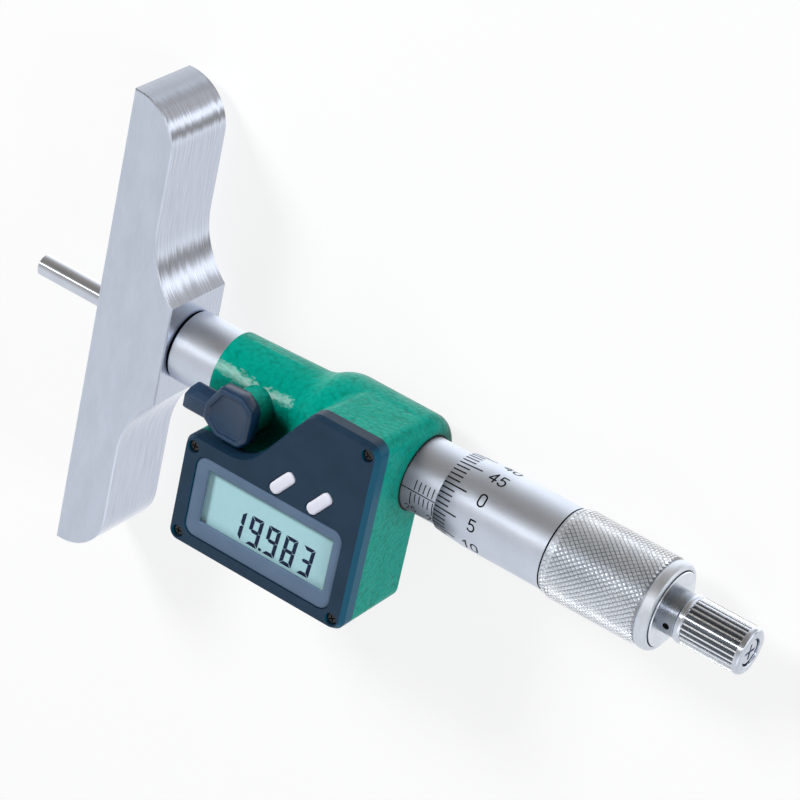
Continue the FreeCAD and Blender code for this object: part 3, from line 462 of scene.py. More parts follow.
finishes = {
    "ground_steel": "base_bar",
    "polished_steel": "measuring_rod rod_nuts spindle inner_sleeve adjusting_nut",
    "satin_chrome": "front_barrel graduated_sleeve thimble",
    "bright_chrome": "ratchet_knob ratchet_screw",
    "cap_chrome": "thimble_cap",
    "bearing_brass": "lock_shoe thrust_washer rotor_bush ratchet_ring",
    "spring_steel": "ratchet_spring battery_contact",
    "cell_steel": "battery",
    "cover_plastic": "display_cover battery_cap",
    "frame_plastic": "window_frame",
    "key_plastic": "set_button data_button",
    "lever_plastic": "lock_lever",
    "black_steel": "cover_screws lock_screw",
    "black_rubber": "front_seal cover_gasket contact_strip sleeve_seal battery_seal",
    "key_silicone": "key_mat",
    "board_green": "circuit_board",
    "disc_laminate": "encoder_rotor encoder_stator",
    "green_enamel": "housing",
    "display_glass": "lcd_panel",
    "clear_window": "window_lens",
}
for name, painted in finishes.items():
    for node in painted.split():
        paint(nodes[node], made[name])


# Repeats: copies of a unit on the places of a ring, or on the points of a mesh

def repeatTree(name, sizes, layout):
    # layout gives the points and the turns of the copies
    tree = bpy.data.node_groups.new(name, "GeometryNodeTree")
    face = tree.interface
    for label, kind in {"Geometry": "Geometry", "Unit": "Object", "Finish": "Material", **sizes}.items():
        face.new_socket(label, in_out="INPUT", socket_type="NodeSocket" + kind)
    face.new_socket("Geometry", in_out="OUTPUT", socket_type="NodeSocketGeometry")
    given = addNode(tree, "NodeGroupInput").outputs
    points, turns = layout(tree, given)
    unit = addNode(tree, "GeometryNodeObjectInfo", {"Object": given["Unit"]}).outputs["Geometry"]
    copies = addNode(tree, "GeometryNodeInstanceOnPoints", {
        "Points": points, "Instance": unit, "Rotation": turns})
    real = addNode(tree, "GeometryNodeRealizeInstances", {0: copies})
    done = addNode(tree, "GeometryNodeSetMaterial", {"Geometry": real, "Material": given["Finish"]})
    addNode(tree, "NodeGroupOutput", {0: done})
    return tree


def ringLayout(tree, given):
    # rows of places round the X axis, each second row staggered
    around = given["Around"]
    count = addNode(tree, "ShaderNodeMath", {0: around, 1: given["Rows"]}, operation="MULTIPLY")
    line = addNode(tree, "GeometryNodeMeshLine", {"Count": count, "Offset": (0, 0, 0)})
    index = addNode(tree, "GeometryNodeInputIndex")
    row = addNode(tree, "ShaderNodeMath", {0: index, 1: around}, operation="DIVIDE")
    row = addNode(tree, "ShaderNodeMath", {0: row}, operation="FLOOR")
    place = addNode(tree, "ShaderNodeMath", {0: index, 1: around}, operation="MODULO")
    odd = addNode(tree, "ShaderNodeMath", {0: row, 1: 2.0}, operation="MODULO")
    place = addNode(tree, "ShaderNodeMath", {
        0: odd, 1: given["Stagger"], 2: place}, operation="MULTIPLY_ADD")
    share = addNode(tree, "ShaderNodeMath", {0: place, 1: around}, operation="DIVIDE")
    angle = addNode(tree, "ShaderNodeMath", {
        0: share, 1: 2 * math.pi, 2: given["Turn"]}, operation="MULTIPLY_ADD")
    x = addNode(tree, "ShaderNodeMath", {
        0: row, 1: given["Pitch"], 2: given["Start"]}, operation="MULTIPLY_ADD")
    y = addNode(tree, "ShaderNodeMath", {0: angle}, operation="COSINE")
    y = addNode(tree, "ShaderNodeMath", {0: y, 1: given["Radius"]}, operation="MULTIPLY")
    z = addNode(tree, "ShaderNodeMath", {0: angle}, operation="SINE")
    z = addNode(tree, "ShaderNodeMath", {0: z, 1: given["Radius"]}, operation="MULTIPLY")
    point = addNode(tree, "ShaderNodeCombineXYZ", {0: x, 1: y, 2: z})
    put = addNode(tree, "GeometryNodeSetPosition", {"Geometry": line, "Position": point})
    return put, addNode(tree, "ShaderNodeCombineXYZ", {0: angle})


def pointLayout(tree, given):
    # the carrier's own points, each copy turned on about Z from the one before
    index = addNode(tree, "GeometryNodeInputIndex")
    turn = addNode(tree, "ShaderNodeMath", {0: index, 1: given["Turn"]}, operation="MULTIPLY")
    return given["Geometry"], addNode(tree, "ShaderNodeCombineXYZ", {2: turn})


ringRepeat = repeatTree("ringRepeat", {
    "Around": "Int", "Rows": "Int", "Start": "Float", "Pitch": "Float", "Radius": "Float",
    "Stagger": "Float", "Turn": "Float"}, ringLayout)
pointRepeat = repeatTree("pointRepeat", {"Turn": "Float"}, pointLayout)


def repeated(name, tree, unit, points=(), **values):
    # a plain mesh made of copies of unit, which is removed afterwards
    mesh = bpy.data.meshes.new(name + "_places")
    mesh.from_pydata([Vector(point) * mm for point in points], [], [])
    carrier = link(bpy.data.objects.new(name + "_carrier", mesh))
    modifier = carrier.modifiers.new("repeat", "NODES")
    modifier.node_group = tree
    values["Unit"] = unit
    for item in tree.interface.items_tree:
        if item.in_out == "INPUT" and item.name in values:
            modifier[item.identifier] = values[item.name]
    bpy.context.view_layer.update()
    evaluated = carrier.evaluated_get(bpy.context.evaluated_depsgraph_get())
    mesh = bpy.data.meshes.new_from_object(evaluated)
    mesh.name = name
    piece = link(bpy.data.objects.new(name, mesh))
    bpy.data.objects.remove(carrier)
    bpy.data.objects.remove(unit)
    return piece


# Thimble

print("thimble")
thimbleSizes = {
    "edge": 81.42, "edgeRadius": 7.93, "coneEnd": 87.5, "radius": 8.45, "inside": 7.68,
    "knurlStart": 105.8, "knurlFull": 107.5, "knurlEnd": 127.0, "root": 8.72, "tip": 9.08,
    "around": 54, "rowPitch": 0.635, "end": 129.3, "rimRadius": 8.94, "capSeat": 7.76,
    "grooveDepth": 0.22, "capDepth": 1.5, "bore": 7.15, "webStart": 117.0, "webEnd": 122.5, "webBore": 4.63,
    "flat": 0.4, "leadRows": 2, "leadHeight": 0.2, "leadDrop": 0.12,
}


def thimbleBody(t):
    bm = bmesh.new()
    rim = t["rimRadius"]
    groove = t["radius"] - t["grooveDepth"]
    seat = t["end"] - t["capDepth"]
    lathe(bm, [
        (t["edge"] + 0.02, t["inside"]), (t["edge"], t["edgeRadius"] - 0.03),
        (t["edge"] + 0.05, t["edgeRadius"]),
        (t["coneEnd"] - 0.3, t["radius"] - 0.03), (t["coneEnd"] + 0.3, t["radius"]),
        (t["knurlStart"] - 0.3, t["radius"]), (t["knurlStart"] - 0.25, groove),
        (t["knurlStart"], groove), (t["knurlStart"] + 0.03, t["radius"] + 0.02),
        (t["knurlFull"], t["root"]), (t["knurlEnd"] - 0.1, t["root"]), (t["knurlEnd"] + 0.15, rim - 0.06),
        (t["knurlEnd"] + 0.4, rim), (t["end"] - 1.2, rim), (t["end"] - 0.7, rim - 0.08),
        (t["end"] - 0.3, rim - 0.33), (t["end"] - 0.06, rim - 0.75), (t["end"], rim - 1.0),
        (t["end"], t["capSeat"] + 0.06), (t["end"] - 0.06, t["capSeat"]), (seat, t["capSeat"]),
        (seat, t["bore"]), (t["webEnd"], t["bore"]), (t["webEnd"], t["webBore"]),
        (t["webStart"], t["webBore"]), (t["webStart"], t["inside"]),
        (t["edge"] + 0.02, t["inside"]),
    ], 160)
    for face in bm.faces:
        middle = face.calc_center_median()
        out = math.hypot(middle.y, middle.z)
        if t["knurlStart"] - 0.3 < middle.x < t["knurlStart"] and out > groove - 0.1:
            face.material_index = 1  # painted shade: the turned groove before the knurl is drawn as a black line
        if t["knurlFull"] < middle.x < t["knurlEnd"] and out > t["root"] - 0.1:
            face.material_index = 3  # painted shade: greyer steel between the knurl's points
        if middle.x > t["knurlEnd"] + 0.1 and out > t["capSeat"] + 0.02:
            face.material_index = 2  # the rim, in a paler chrome that paints its highlight
    return meshPiece("thimble_body", bm, 28)


def diamondUnit(length, width, height, crown):
    # a knurl point, apex outwards along Y: four flanks and a small flat
    bm = bmesh.new()
    foot = -0.12
    base = [(length / 2, foot, 0), (0, foot, width / 2), (-length / 2, foot, 0), (0, foot, -width / 2)]
    top = [(x * crown, height, z * crown) for x, _, z in base]
    low = [bm.verts.new(v) for v in base]
    high = [bm.verts.new(v) for v in top]
    for k in range(4):
        bm.faces.new([low[k], low[(k + 1) % 4], high[(k + 1) % 4], high[k]])
    bm.faces.new(high)
    return meshPiece("diamond_unit", bm, 10)


def thimblePiece(t):
    piece = thimbleBody(t)
    paint(piece, made["satin_chrome"], made["gap_black"], made["rim_chrome"], made["valley_steel"])
    width = 2 * math.pi * t["root"] / t["around"]
    knurl = repeated(
        "knurl", ringRepeat, diamondUnit(2 * t["rowPitch"], width, t["tip"] - t["root"], t["flat"]),
        Around=t["around"], Rows=int((t["knurlEnd"] - t["knurlFull"]) / t["rowPitch"]),
        Start=(t["knurlFull"] + 0.3) * mm, Pitch=t["rowPitch"] * mm, Radius=t["root"] * mm,
        Stagger=0.5, Turn=0.0, Finish=made["knurl_steel"])
    leadIn = repeated(
        "lead_in", ringRepeat, diamondUnit(2 * t["rowPitch"] * 0.95, width, t["leadHeight"], t["flat"]),
        Around=t["around"], Rows=t["leadRows"], Start=(t["knurlStart"] + 0.72) * mm,
        Pitch=t["rowPitch"] * mm, Radius=(t["root"] - t["leadDrop"]) * mm,
        Stagger=0.5, Turn=0.0, Finish=made["knurl_steel"])
    piece = joined(piece, knurl, leadIn)
    piece.name = "thimble_knurled"
    return piece


handIn(thimblePiece(thimbleSizes), "satin_chrome", "spindle", "thimble")


# Ratchet knob: a turned body with ribs between its flutes

print("ratchet knob")
knobSizes = {
    "start": 132.7, "collar": 4.9, "collarEnd": 133.75, "ribStart": 134.05, "ribEnd": 145.35, "end": 146.6,
    "root": 4.46, "radius": 4.78, "ribs": 28, "ribTop": 0.30, "ribFoot": 0.42, "bore": 2.15, "recess": 2.85,
    "recessDepth": 1.3, "room": 3.73, "roomStart": 133.6, "roomEnd": 143.6,  # the room holds the clutch
}


def ribUnit(k):
    bm = bmesh.new()
    length = k["ribEnd"] - k["ribStart"]
    height = k["radius"] - k["root"]
    foot, top = k["ribFoot"] / 2, k["ribTop"] / 2
    loft(bm, [
        [(x, -0.05, -foot), (x, height * share, -top), (x, height * share, top), (x, -0.05, foot)]
        for x, share in ((-0.02, 0.15), (0.25, 0.85), (0.5, 1.0), (length - 0.02, 1.0), (length + 0.3, 0.95))
    ])
    return meshPiece("rib_unit", bm, 20)


def knobPiece(k):
    bm = bmesh.new()
    end, r = k["end"], k["radius"]
    lathe(bm, [
        (k["start"], k["bore"]), (k["start"], k["collar"] - 0.35), (k["start"] + 0.12, k["collar"] - 0.12),
        (k["start"] + 0.35, k["collar"]), (k["collarEnd"] - 0.1, k["collar"]),
        (k["collarEnd"], k["collar"] - 0.08),
        (k["ribStart"], k["root"]), (k["ribEnd"], k["root"]), (k["ribEnd"] + 0.08, r - 0.03),
        (k["ribEnd"] + 0.15, r), (end - 0.8, r), (end - 0.5, r - 0.07), (end - 0.25, r - 0.23),
        (end - 0.07, r - 0.48), (end, r - 0.8), (end, k["recess"] + 0.12), (end - 0.1, k["recess"]),
        (end - k["recessDepth"], k["recess"]), (end - k["recessDepth"], k["bore"]), (k["roomEnd"], k["bore"]),
        (k["roomEnd"], k["room"]), (k["roomStart"], k["room"]), (k["roomStart"], k["bore"]),
        (k["start"], k["bore"]),
    ], 112)
    for face in bm.faces:
        middle = face.calc_center_median()
        if k["ribStart"] < middle.x < k["ribEnd"] and math.hypot(middle.y, middle.z) > k["root"] - 0.05:
            face.material_index = 1  # painted shade on the floors of the flutes
    piece = meshPiece("ratchet_knob_ribbed", bm, 28)
    paint(piece, made["bright_chrome"], made["flute_steel"])
    ribs = repeated(
        "ribs", ringRepeat, ribUnit(k), Around=k["ribs"], Rows=1, Start=k["ribStart"] * mm, Pitch=0.0,
        Radius=k["root"] * mm, Stagger=0.0, Turn=math.pi / k["ribs"], Finish=made["knurl_steel"])
    return joined(piece, ribs)


handIn(knobPiece(knobSizes), "polished_steel", "ratchet", "ratchet_knob")


# Painted shade: black rings in the gaps between neighbouring turned parts

def gapRing(name, x0, x1, inner, outer, body):
    bm = bmesh.new()
    lathe(bm, [(x0, inner), (x0, outer), (x1, outer), (x1, inner), (x0, inner)], 96)
    piece = meshPiece(name, bm, 30)
    paint(piece, made["gap_black"])
    handIn(piece, "black_rubber", body)


gaps = {  # from and to along X, inner and outer radius, and the body that carries it
    "barrel_gap": (17.32, 17.46, 6.67, 7.05, "frame"),
    "knob_gap": (132.57, 132.68, 2.2, 4.4, "spindle"),
}
for name, values in gaps.items():
    gapRing(name, *values)


# Painted shade: a black floor in the spanner hole in the neck

holeSizes = {"x": 131.1, "angle": 101.5, "neck": 4.5, "radius": 0.66, "low": 0.5, "high": 0.16}


def spannerHole(h):
    bm = bmesh.new()
    low, high = h["neck"] - h["low"], h["neck"] - h["high"]
    lathe(bm, [(low, 0.0), (low, h["radius"]), (high, h["radius"]), (high, 0.0)], 32)
    bm.transform(Matrix.Rotation(math.radians(90), 4, "Z"))
    bm.transform(Matrix.Rotation(math.radians(h["angle"]), 4, "X"))
    bm.transform(Matrix.Translation((h["x"], 0, 0)))
    piece = meshPiece("spanner_hole_floor", bm, 30)
    paint(piece, made["gap_black"])
    handIn(piece, "black_rubber", "spindle")


spannerHole(holeSizes)


# Lock lever: head with a rounded rim and a sunk face, and its finger tab

print("lever and keys")
leverSizes = {
    "head": [(36.9, -4.75, 1.6), (42.6, -4.75, 1.9), (44.2, -2.6, 1.8), (44.2, 4.2, 2.6),
             (41.2, 6.4, 2.2), (36.2, 6.2, 1.2), (33.2, 1.2, 0.8), (33.2, -1.9, 0.8)],
    "back": 13.3, "front": 16.5, "rim": 1.5, "sunk": 0.6, "tabStart": 28.4, "tabEnd": 34.0, "lean": 1.1,
    "tabLow": -2.4, "tabHigh": 2.95, "tabShoulder": 2.05, "tabCrown": 0.8,
}


def leverPiece(v):
    back, front = v["back"], v["front"]
    bm = bmesh.new()
    loft(bm, stacked(v["head"], [
        (0.15, back), (0, back + 0.15), (0, front - 0.95), (0.08, front - 0.6), (0.25, front - 0.3),
        (0.5, front - 0.1), (0.8, front), (v["rim"] - 0.4, front), (v["rim"] - 0.2, front - 0.08),
        (v["rim"] - 0.05, front - 0.28), (v["rim"] + 0.08, front - v["sunk"] + 0.1),
        (v["rim"] + 0.3, front - v["sunk"]),
    ], 6, 0.9))
    head = meshPiece("lock_lever_rounded", bm, 50)
    crown = front - 0.25
    low, high = v["tabLow"], v["tabHigh"]
    section = [(low, back, 0.2), (high, back, 0.15), (high, back + 0.5, 0.2),
               (v["tabShoulder"], back + 1.9, 0.5), (v["tabCrown"], crown, 0.7), (low + 0.5, crown, 0.2),
               (low, crown - 0.5, 0.2)]
    rings = []
    for inset, step in ((0.35, 0.0), (0.12, 0.1), (0.0, 0.4), (0.0, 3.0), (0.0, v["tabEnd"] - v["tabStart"])):
        ring = []
        for p in cornerRing(section, inset, 4):
            lean = v["lean"] * (crown - p.y) / (crown - back) * max(0.0, 1 - step / 4)
            ring.append((v["tabStart"] + step + lean, p.x, p.y))
        rings.append(ring)
    bm = bmesh.new()
    loft(bm, rings)
    tab = meshPiece("lever_tab", bm, 40)
    piece = joined(head, tab)
    paint(piece, made["lever_plastic"])
    return piece


handIn(leverPiece(leverSizes), "lever_plastic", "lock", "lock_lever")


# Push buttons: moulded keycaps with a soft edge, on the flange behind the cover

buttonSizes = {
    "places": {"set_button": 54.5, "data_button": 63.2}, "level": -5.2, "angle": 53, "length": 6.7,
    "width": 2.5, "round": 1.15, "top": 18.2, "flange": 0.5, "flangeTop": 15.98, "flangeBottom": 15.28,
}


def buttonPiece(name, centre, b):
    turn = Matrix.Rotation(math.radians(b["angle"]), 2)
    corners = []
    for u, v in [(-1, -1), (1, -1), (1, 1), (-1, 1)]:
        p = turn @ Vector((u * b["length"] / 2, v * b["width"] / 2))
        corners.append((centre + p.x, b["level"] + p.y, b["round"]))
    top = b["top"]
    bm = bmesh.new()
    loft(bm, stacked(corners, [
        (-b["flange"], b["flangeBottom"]), (-b["flange"], b["flangeTop"]), (0, b["flangeTop"]),
        (0, top - 0.5),
        (0.07, top - 0.28), (0.18, top - 0.13), (0.36, top - 0.04), (0.6, top),
    ], 6))
    piece = meshPiece(name + "_cap", bm, 50)
    paint(piece, made["key_plastic"])
    return piece


for node, centre in buttonSizes["places"].items():
    handIn(buttonPiece(node, centre, buttonSizes), "pale_keys", node.replace("button", "key"), node)


# Cover screws with cross recesses

screwSizes = {
    "places": [(33.8, -27.2), (70.9, -27.2), (70.9, 9.5), (33.8, -7.9)], "radius": 1.14, "top": 17.34,
    "bottom": 16.56, "arm": 0.72, "armWidth": 0.3, "taper": 0.8, "deep": 0.42,
    "shank": 0.79, "shankEnd": 6.65,
    "turn": 0.5,  # each screw stands half a radian on from the one before
}


def screwUnit(s):
    bm = bmesh.new()
    steps = 32
    turns = [2 * math.pi * k / steps for k in range(steps)]

    def circle(radius, z):
        return [(radius * math.cos(a), radius * math.sin(a), z) for a in turns]

    top, r = s["top"], s["radius"]
    rings = [circle(s["shank"], s["shankEnd"]), circle(s["shank"], s["bottom"]), circle(r, s["bottom"]),
             circle(r, top - 0.2), circle(r - 0.06, top - 0.08), circle(r - 0.2, top)]
    edge = loft(bm, rings, lid=False)[-1]
    a, w = s["arm"], s["armWidth"] / 2
    cross = [(a, -w), (a, w), (w, w), (w, a), (-w, a), (-w, w),
             (-a, w), (-a, -w), (-w, -w), (-w, -a), (w, -a), (w, -w)]
    count = len(cross)
    mouth = [bm.verts.new((x, y, top)) for x, y in cross]
    floor = [bm.verts.new((x * s["taper"], y * s["taper"], top - s["deep"])) for x, y in cross]
    edges = [bm.edges.new((mouth[k], mouth[(k + 1) % count])) for k in range(count)]
    edges += [bm.edges.get((edge[k], edge[(k + 1) % steps])) for k in range(steps)]
    bmesh.ops.triangle_fill(bm, edges=edges, use_beauty=True)
    for k in range(count):
        bm.faces.new([mouth[k], mouth[(k + 1) % count], floor[(k + 1) % count], floor[k]])
    bm.faces.new(floor)
    return meshPiece("screw_unit", bm, 30)


screws = repeated("cover_screws_cross", pointRepeat, screwUnit(screwSizes),
                  [(x, y, 0) for x, y in screwSizes["places"]], Turn=screwSizes["turn"],
                  Finish=made["black_steel"])
handIn(screws, "black_steel", "frame", "cover_screws")


# Window frame with a softened rim and a bevel down to the window

frameSizes = {"left": 35.06, "right": 69.69, "bottom": -26.44, "top": -8.76, "round": 2.4, "front": 17.55,
              "seat": 17.05, "viewLeft": 38.0, "viewRight": 67.6, "viewBottom": -22.8, "viewTop": -11.3,
              "viewRound": 0.3}


def windowFramePiece(w):
    outer = rectangle(w["left"], w["right"], w["bottom"], w["top"], w["round"])
    inner = rectangle(w["viewLeft"], w["viewRight"], w["viewBottom"], w["viewTop"], w["viewRound"])
    front, seat = w["front"], w["seat"]
    bm = bmesh.new()
    loft(bm, stacked(outer, [(0, seat), (0, front - 0.12), (0.05, front - 0.04), (0.14, front)], 6)
         + stacked(inner, [(-0.32, front), (-0.22, front - 0.03), (0, front - 0.2), (0, seat)], 6),
         closed=True)
    piece = meshPiece("window_surround", bm, 40)
    paint(piece, made["frame_plastic"])
    return piece


handIn(windowFramePiece(frameSizes), "window_frame", "frame", "window_frame")


# Graduations and numbers

print("graduations")
datumAngle = math.radians(86.5)  # where the sleeve's long line lies, from +Y towards +Z


def wrapLine(bm, x0, x1, angle0, angle1, radius, lift=0.012):
    # a painted line on a cylinder or cone, between two x places and two angles
    steps = max(1, int(abs(angle1 - angle0) / 0.04))
    for k in range(steps):
        a = angle0 + (angle1 - angle0) * k / steps
        b = angle0 + (angle1 - angle0) * (k + 1) / steps
        corners = []
        for x, angle in ((x0, a), (x1, a), (x1, b), (x0, b)):
            r = radius(x) + lift
            corners.append(bm.verts.new((x, r * math.cos(angle), r * math.sin(angle))))
        bm.faces.new(corners)


def wrapStroke(bm, points, width, radius, lift=0.012):
    # a pen stroke with round ends: points are (x, arc length, radius the arc is measured at)
    def placed(x, s, r0):
        r = radius(x) + lift
        return (x, r * math.cos(s / r0), r * math.sin(s / r0))

    half = width / 2
    for (x0, s0, r0), (x1, s1, _) in zip(points, points[1:]):
        d = math.hypot(x1 - x0, s1 - s0)
        if d < 1e-6:
            continue
        nx, ns = -(s1 - s0) / d * half, (x1 - x0) / d * half
        pieces = max(1, math.ceil(d / 0.3))  # short quads, so that none dips under the round surface
        for k in range(pieces):
            xa, sa = x0 + (x1 - x0) * k / pieces, s0 + (s1 - s0) * k / pieces
            xb, sb = x0 + (x1 - x0) * (k + 1) / pieces, s0 + (s1 - s0) * (k + 1) / pieces
            quad = [(xa + nx, sa + ns), (xb + nx, sb + ns), (xb - nx, sb - ns), (xa - nx, sa - ns)]
            bm.faces.new([bm.verts.new(placed(x, s, r0)) for x, s in quad])
    for x, s, r0 in points:
        rim = [(x + half * math.cos(k * math.pi / 4), s + half * math.sin(k * math.pi / 4)) for k in range(8)]
        bm.faces.new([bm.verts.new(placed(u, v, r0)) for u, v in rim])


def arc(cx, cy, rx, ry, start, end, steps=10):
    return [
        (cx + rx * math.cos(math.radians(start + (end - start) * k / steps)),
         cy + ry * math.sin(math.radians(start + (end - start) * k / steps)))
        for k in range(steps + 1)
    ]


# plain drafting numerals in a box 0.6 wide and 1 high, as pen strokes
numerals = {
    "0": [arc(0.3, 0.72, 0.28, 0.28, 0, 180) + arc(0.3, 0.28, 0.28, 0.28, 180, 360) + [(0.58, 0.72)]],
    "1": [[(0.1, 0.74), (0.36, 1.0), (0.36, 0.0)]],
    "2": [arc(0.3, 0.72, 0.27, 0.28, 170, -30) + [(0.02, 0.0), (0.6, 0.0)]],
    "3": [arc(0.28, 0.75, 0.25, 0.25, 150, -80) + arc(0.28, 0.26, 0.29, 0.26, 80, -150)],
    "4": [[(0.46, 0.0), (0.46, 1.0), (0.02, 0.28), (0.62, 0.28)]],
    "5": [[(0.54, 1.0), (0.1, 1.0), (0.06, 0.56)] + arc(0.28, 0.32, 0.3, 0.32, 120, -150)],
}


def number(bm, text, x, angle, height, radius, width, lift=0.012, gap=0.24):
    # numerals centred on x that read along X, with their tops towards smaller angles
    r0 = radius(x)
    along = x - (0.6 * len(text) + gap * (len(text) - 1)) * height / 2
    for digit in text:
        for stroke in numerals[digit]:
            wrapStroke(bm, [(along + u * height, angle * r0 - (v - 0.5) * height, r0) for u, v in stroke],
                       width, radius, lift)
        along += (0.6 + gap) * height


def printedPiece(name, bm, outward):
    # ink lies in single faces, each turned the way that outward gives for its middle
    for face in bm.faces:
        face.normal_update()
        if face.normal.dot(outward(face.calc_center_median())) < 0:
            face.normal_flip()
    bm.transform(Matrix.Scale(mm, 4))
    mesh = bpy.data.meshes.new(name)
    bm.to_mesh(mesh)
    bm.free()
    return link(bpy.data.objects.new(name, mesh))


def markPiece(name, bm, body):
    piece = printedPiece(name, bm, lambda middle: Vector((0, middle.y, middle.z)))
    paint(piece, made["ink_black"])
    handIn(piece, "black_steel", body)


sleeveMarks = {"radius": 7.525, "zero": 100.9, "travel": 25, "start": 73.65, "end": 106.2, "tick": 2.0,
               "longTick": 3.0, "gap": 0.35, "line": 0.22, "text": 1.3, "height": 1.7, "stroke": 0.22}


def sleeveScale(m):
    def radius(x):
        return m["radius"]

    def past(length):
        return datumAngle + length / m["radius"]

    bm = bmesh.new()
    half = m["line"] / 2
    wrapLine(bm, m["start"], m["end"], past(-half), past(half), radius)
    for value in range(m["travel"] + 1):
        x = m["zero"] - value
        length = m["longTick"] if value % 5 == 0 else m["tick"]
        wrapLine(bm, x - half, x + half, past(m["gap"]), past(m["gap"] + length), radius)
        if value < m["travel"]:  # half millimetres on the other side of the line
            x0 = x - 0.5
            wrapLine(bm, x0 - half, x0 + half, past(-m["gap"]), past(-m["gap"] - m["tick"]), radius)
        if value % 5 == 0:
            number(bm, str(value), x, past(m["gap"] + m["longTick"] + m["text"]), m["height"], radius,
                   m["stroke"], gap=0.2)
    markPiece("sleeve_scale", bm, "frame")


sleeveScale(sleeveMarks)

thimbleMarks = {"count": 50, "line": 0.29, "lineRadius": 8.1, "lift": 0.015, "inset": 0.08, "short": 3.0,
                "long": 5.2, "text": 90.2, "height": 2.4, "stroke": 0.34, "reading": 5}


def thimbleScale(m, t):
    def radius(x):
        if x >= t["coneEnd"]:
            return t["radius"]
        share = (x - t["edge"]) / (t["coneEnd"] - t["edge"])
        return t["edgeRadius"] + (t["radius"] - t["edgeRadius"]) * share

    bm = bmesh.new()
    spread = m["line"] / 2 / m["lineRadius"]
    for value in range(m["count"]):
        angle = datumAngle + (value - m["reading"]) * 2 * math.pi / m["count"]
        length = m["long"] if value % 5 == 0 else m["short"]
        wrapLine(bm, t["edge"] + m["inset"], t["edge"] + length, angle - spread, angle + spread, radius,
                 m["lift"])
        if value % 5 == 0:
            number(bm, str(value), m["text"], angle, m["height"], radius, m["stroke"], m["lift"])
    markPiece("thimble_scale", bm, "spindle")


thimbleScale(thimbleMarks, thimbleSizes)


# Display digits: seven slanted segments with mitred ends

print("display")
digitSizes = {"left": 44.17, "pitch": 4.08, "width": 2.85, "height": 6.55, "bottom": -22.67, "lean": 0.084,
              "bar": 0.82, "gap": 0.05, "cut": 0.06, "level": 16.35, "lift": 0.02, "reading": "19.983",
              "point": (-0.92, -0.28, 0.62)}  # the decimal point's left, right and height
segmentsOf = {"0": "abcdef", "1": "bc", "2": "abged", "3": "abgcd", "4": "fgbc", "5": "afgcd",
              "6": "afgedc", "7": "abc", "8": "abcdefg", "9": "abcdfg"}


def digitPiece(d):
    bm = bmesh.new()
    w, h, b, g = d["width"], d["height"], d["bar"], d["gap"]
    half, hb = h / 2, b / 2
    c = g + d["cut"]

    def slab(points, place):
        z = d["level"] + d["lift"]
        bm.faces.new([bm.verts.new((place + x + y * d["lean"], d["bottom"] + y, z)) for x, y in points])

    shapes = {
        "a": [(c, h), (w - c, h), (w - b - g, h - b), (b + g, h - b)],
        "d": [(b + g, b), (w - b - g, b), (w - c, 0), (c, 0)],
        "g": [(hb + g, half), (b + g * 0.6, half + hb), (w - b - g * 0.6, half + hb), (w - hb - g, half),
              (w - b - g * 0.6, half - hb), (b + g * 0.6, half - hb)],
        "f": [(0, h - c), (b, h - b - g), (b, half + hb + g * 0.4), (hb, half + g), (0, half + g * 1.4)],
        "e": [(0, c), (b, b + g), (b, half - hb - g * 0.4), (hb, half - g), (0, half - g * 1.4)],
        "b": [(w, h - c), (w - b, h - b - g), (w - b, half + hb + g * 0.4), (w - hb, half + g),
              (w, half + g * 1.4)],
        "c": [(w, c), (w - b, b + g), (w - b, half - hb - g * 0.4), (w - hb, half - g), (w, half - g * 1.4)],
    }
    place = d["left"]
    left, right, high = d["point"]
    for character in d["reading"]:
        if character == ".":
            slab([(left, 0), (right, 0), (right, high), (left, high)], place)
            continue
        for segment in segmentsOf[character]:
            slab(shapes[segment], place)
        place += d["pitch"]
    return printedPiece("display_digits", bm, lambda middle: Vector((0, 0, 1)))


digits = digitPiece(digitSizes)
paint(digits, made["segment_ink"])
handIn(digits, "black_steel", "frame")


# Camera

print("camera")
cameraView = {
    # the photograph's own viewpoint: place in mm, directions of the picture's sides, focal length in pixels
    "place": (354.0, 363.5, 524.4), "right": (0.7997, 0.1917, -0.5690), "down": (0.4329, -0.8407, 0.3253),
    "forward": (-0.4160, -0.5064, -0.7553), "focal": 3725.8, "picture": 800, "sensor": 36,
    "near": 0.01, "far": 20,
}


def photoCamera(c):
    camera = link(bpy.data.objects.new("camera", bpy.data.cameras.new("camera")))
    turn = Matrix((Vector(c["right"]), -Vector(c["down"]), -Vector(c["forward"]))).transposed().to_4x4()
    camera.matrix_world = Matrix.Translation(Vector(c["place"]) * mm) @ turn
    camera.data.sensor_fit = "HORIZONTAL"
    camera.data.sensor_width = c["sensor"]
    camera.data.lens = c["focal"] / c["picture"] * c["sensor"]
    camera.data.clip_start = c["near"]
    camera.data.clip_end = c["far"]
    bpy.context.scene.camera = camera


photoCamera(cameraView)


# Floor, surroundings and lamps

print("studio")
studio = {
    "floor": -11.03, "shade": 0.18, "diffuse": 0.16,
    "scale": 12,  # a colour ramp holds values up to 1, so the bands are stored divided by this
    # what gloss sees round the X axis: degrees from +Y towards +Z, and brightness
    "round": [(-180, 0.95), (-156, 0.95), (-116, 1.15), (-96, 1.6), (-66, 1.75), (-54, 1.5), (-36, 0.95),
              (-16, 0.5), (4, 0.38), (24, 0.30), (42, 0.32), (54, 0.5), (60, 0.9), (61.6, 7.0), (64.8, 7.0),
              (66.4, 0.9), (76, 0.55), (86, 0.6), (104, 0.85), (124, 1.0), (164, 1.0), (180, 0.95)],
    # soft cards: direction, inner and outer angle, brightness
    "cards": [((0.416, -0.506, -0.755), 12, 34, 0.95), ((0.33, 0.567, -0.755), 10, 26, 0.62),
              ((0.6, 0.265, -0.755), 3, 11, 1.7), ((0.653, 0.05, -0.755), 2, 12, 0.2),
              ((0.755, -0.506, 0.416), 6, 18, 1.6)],
}


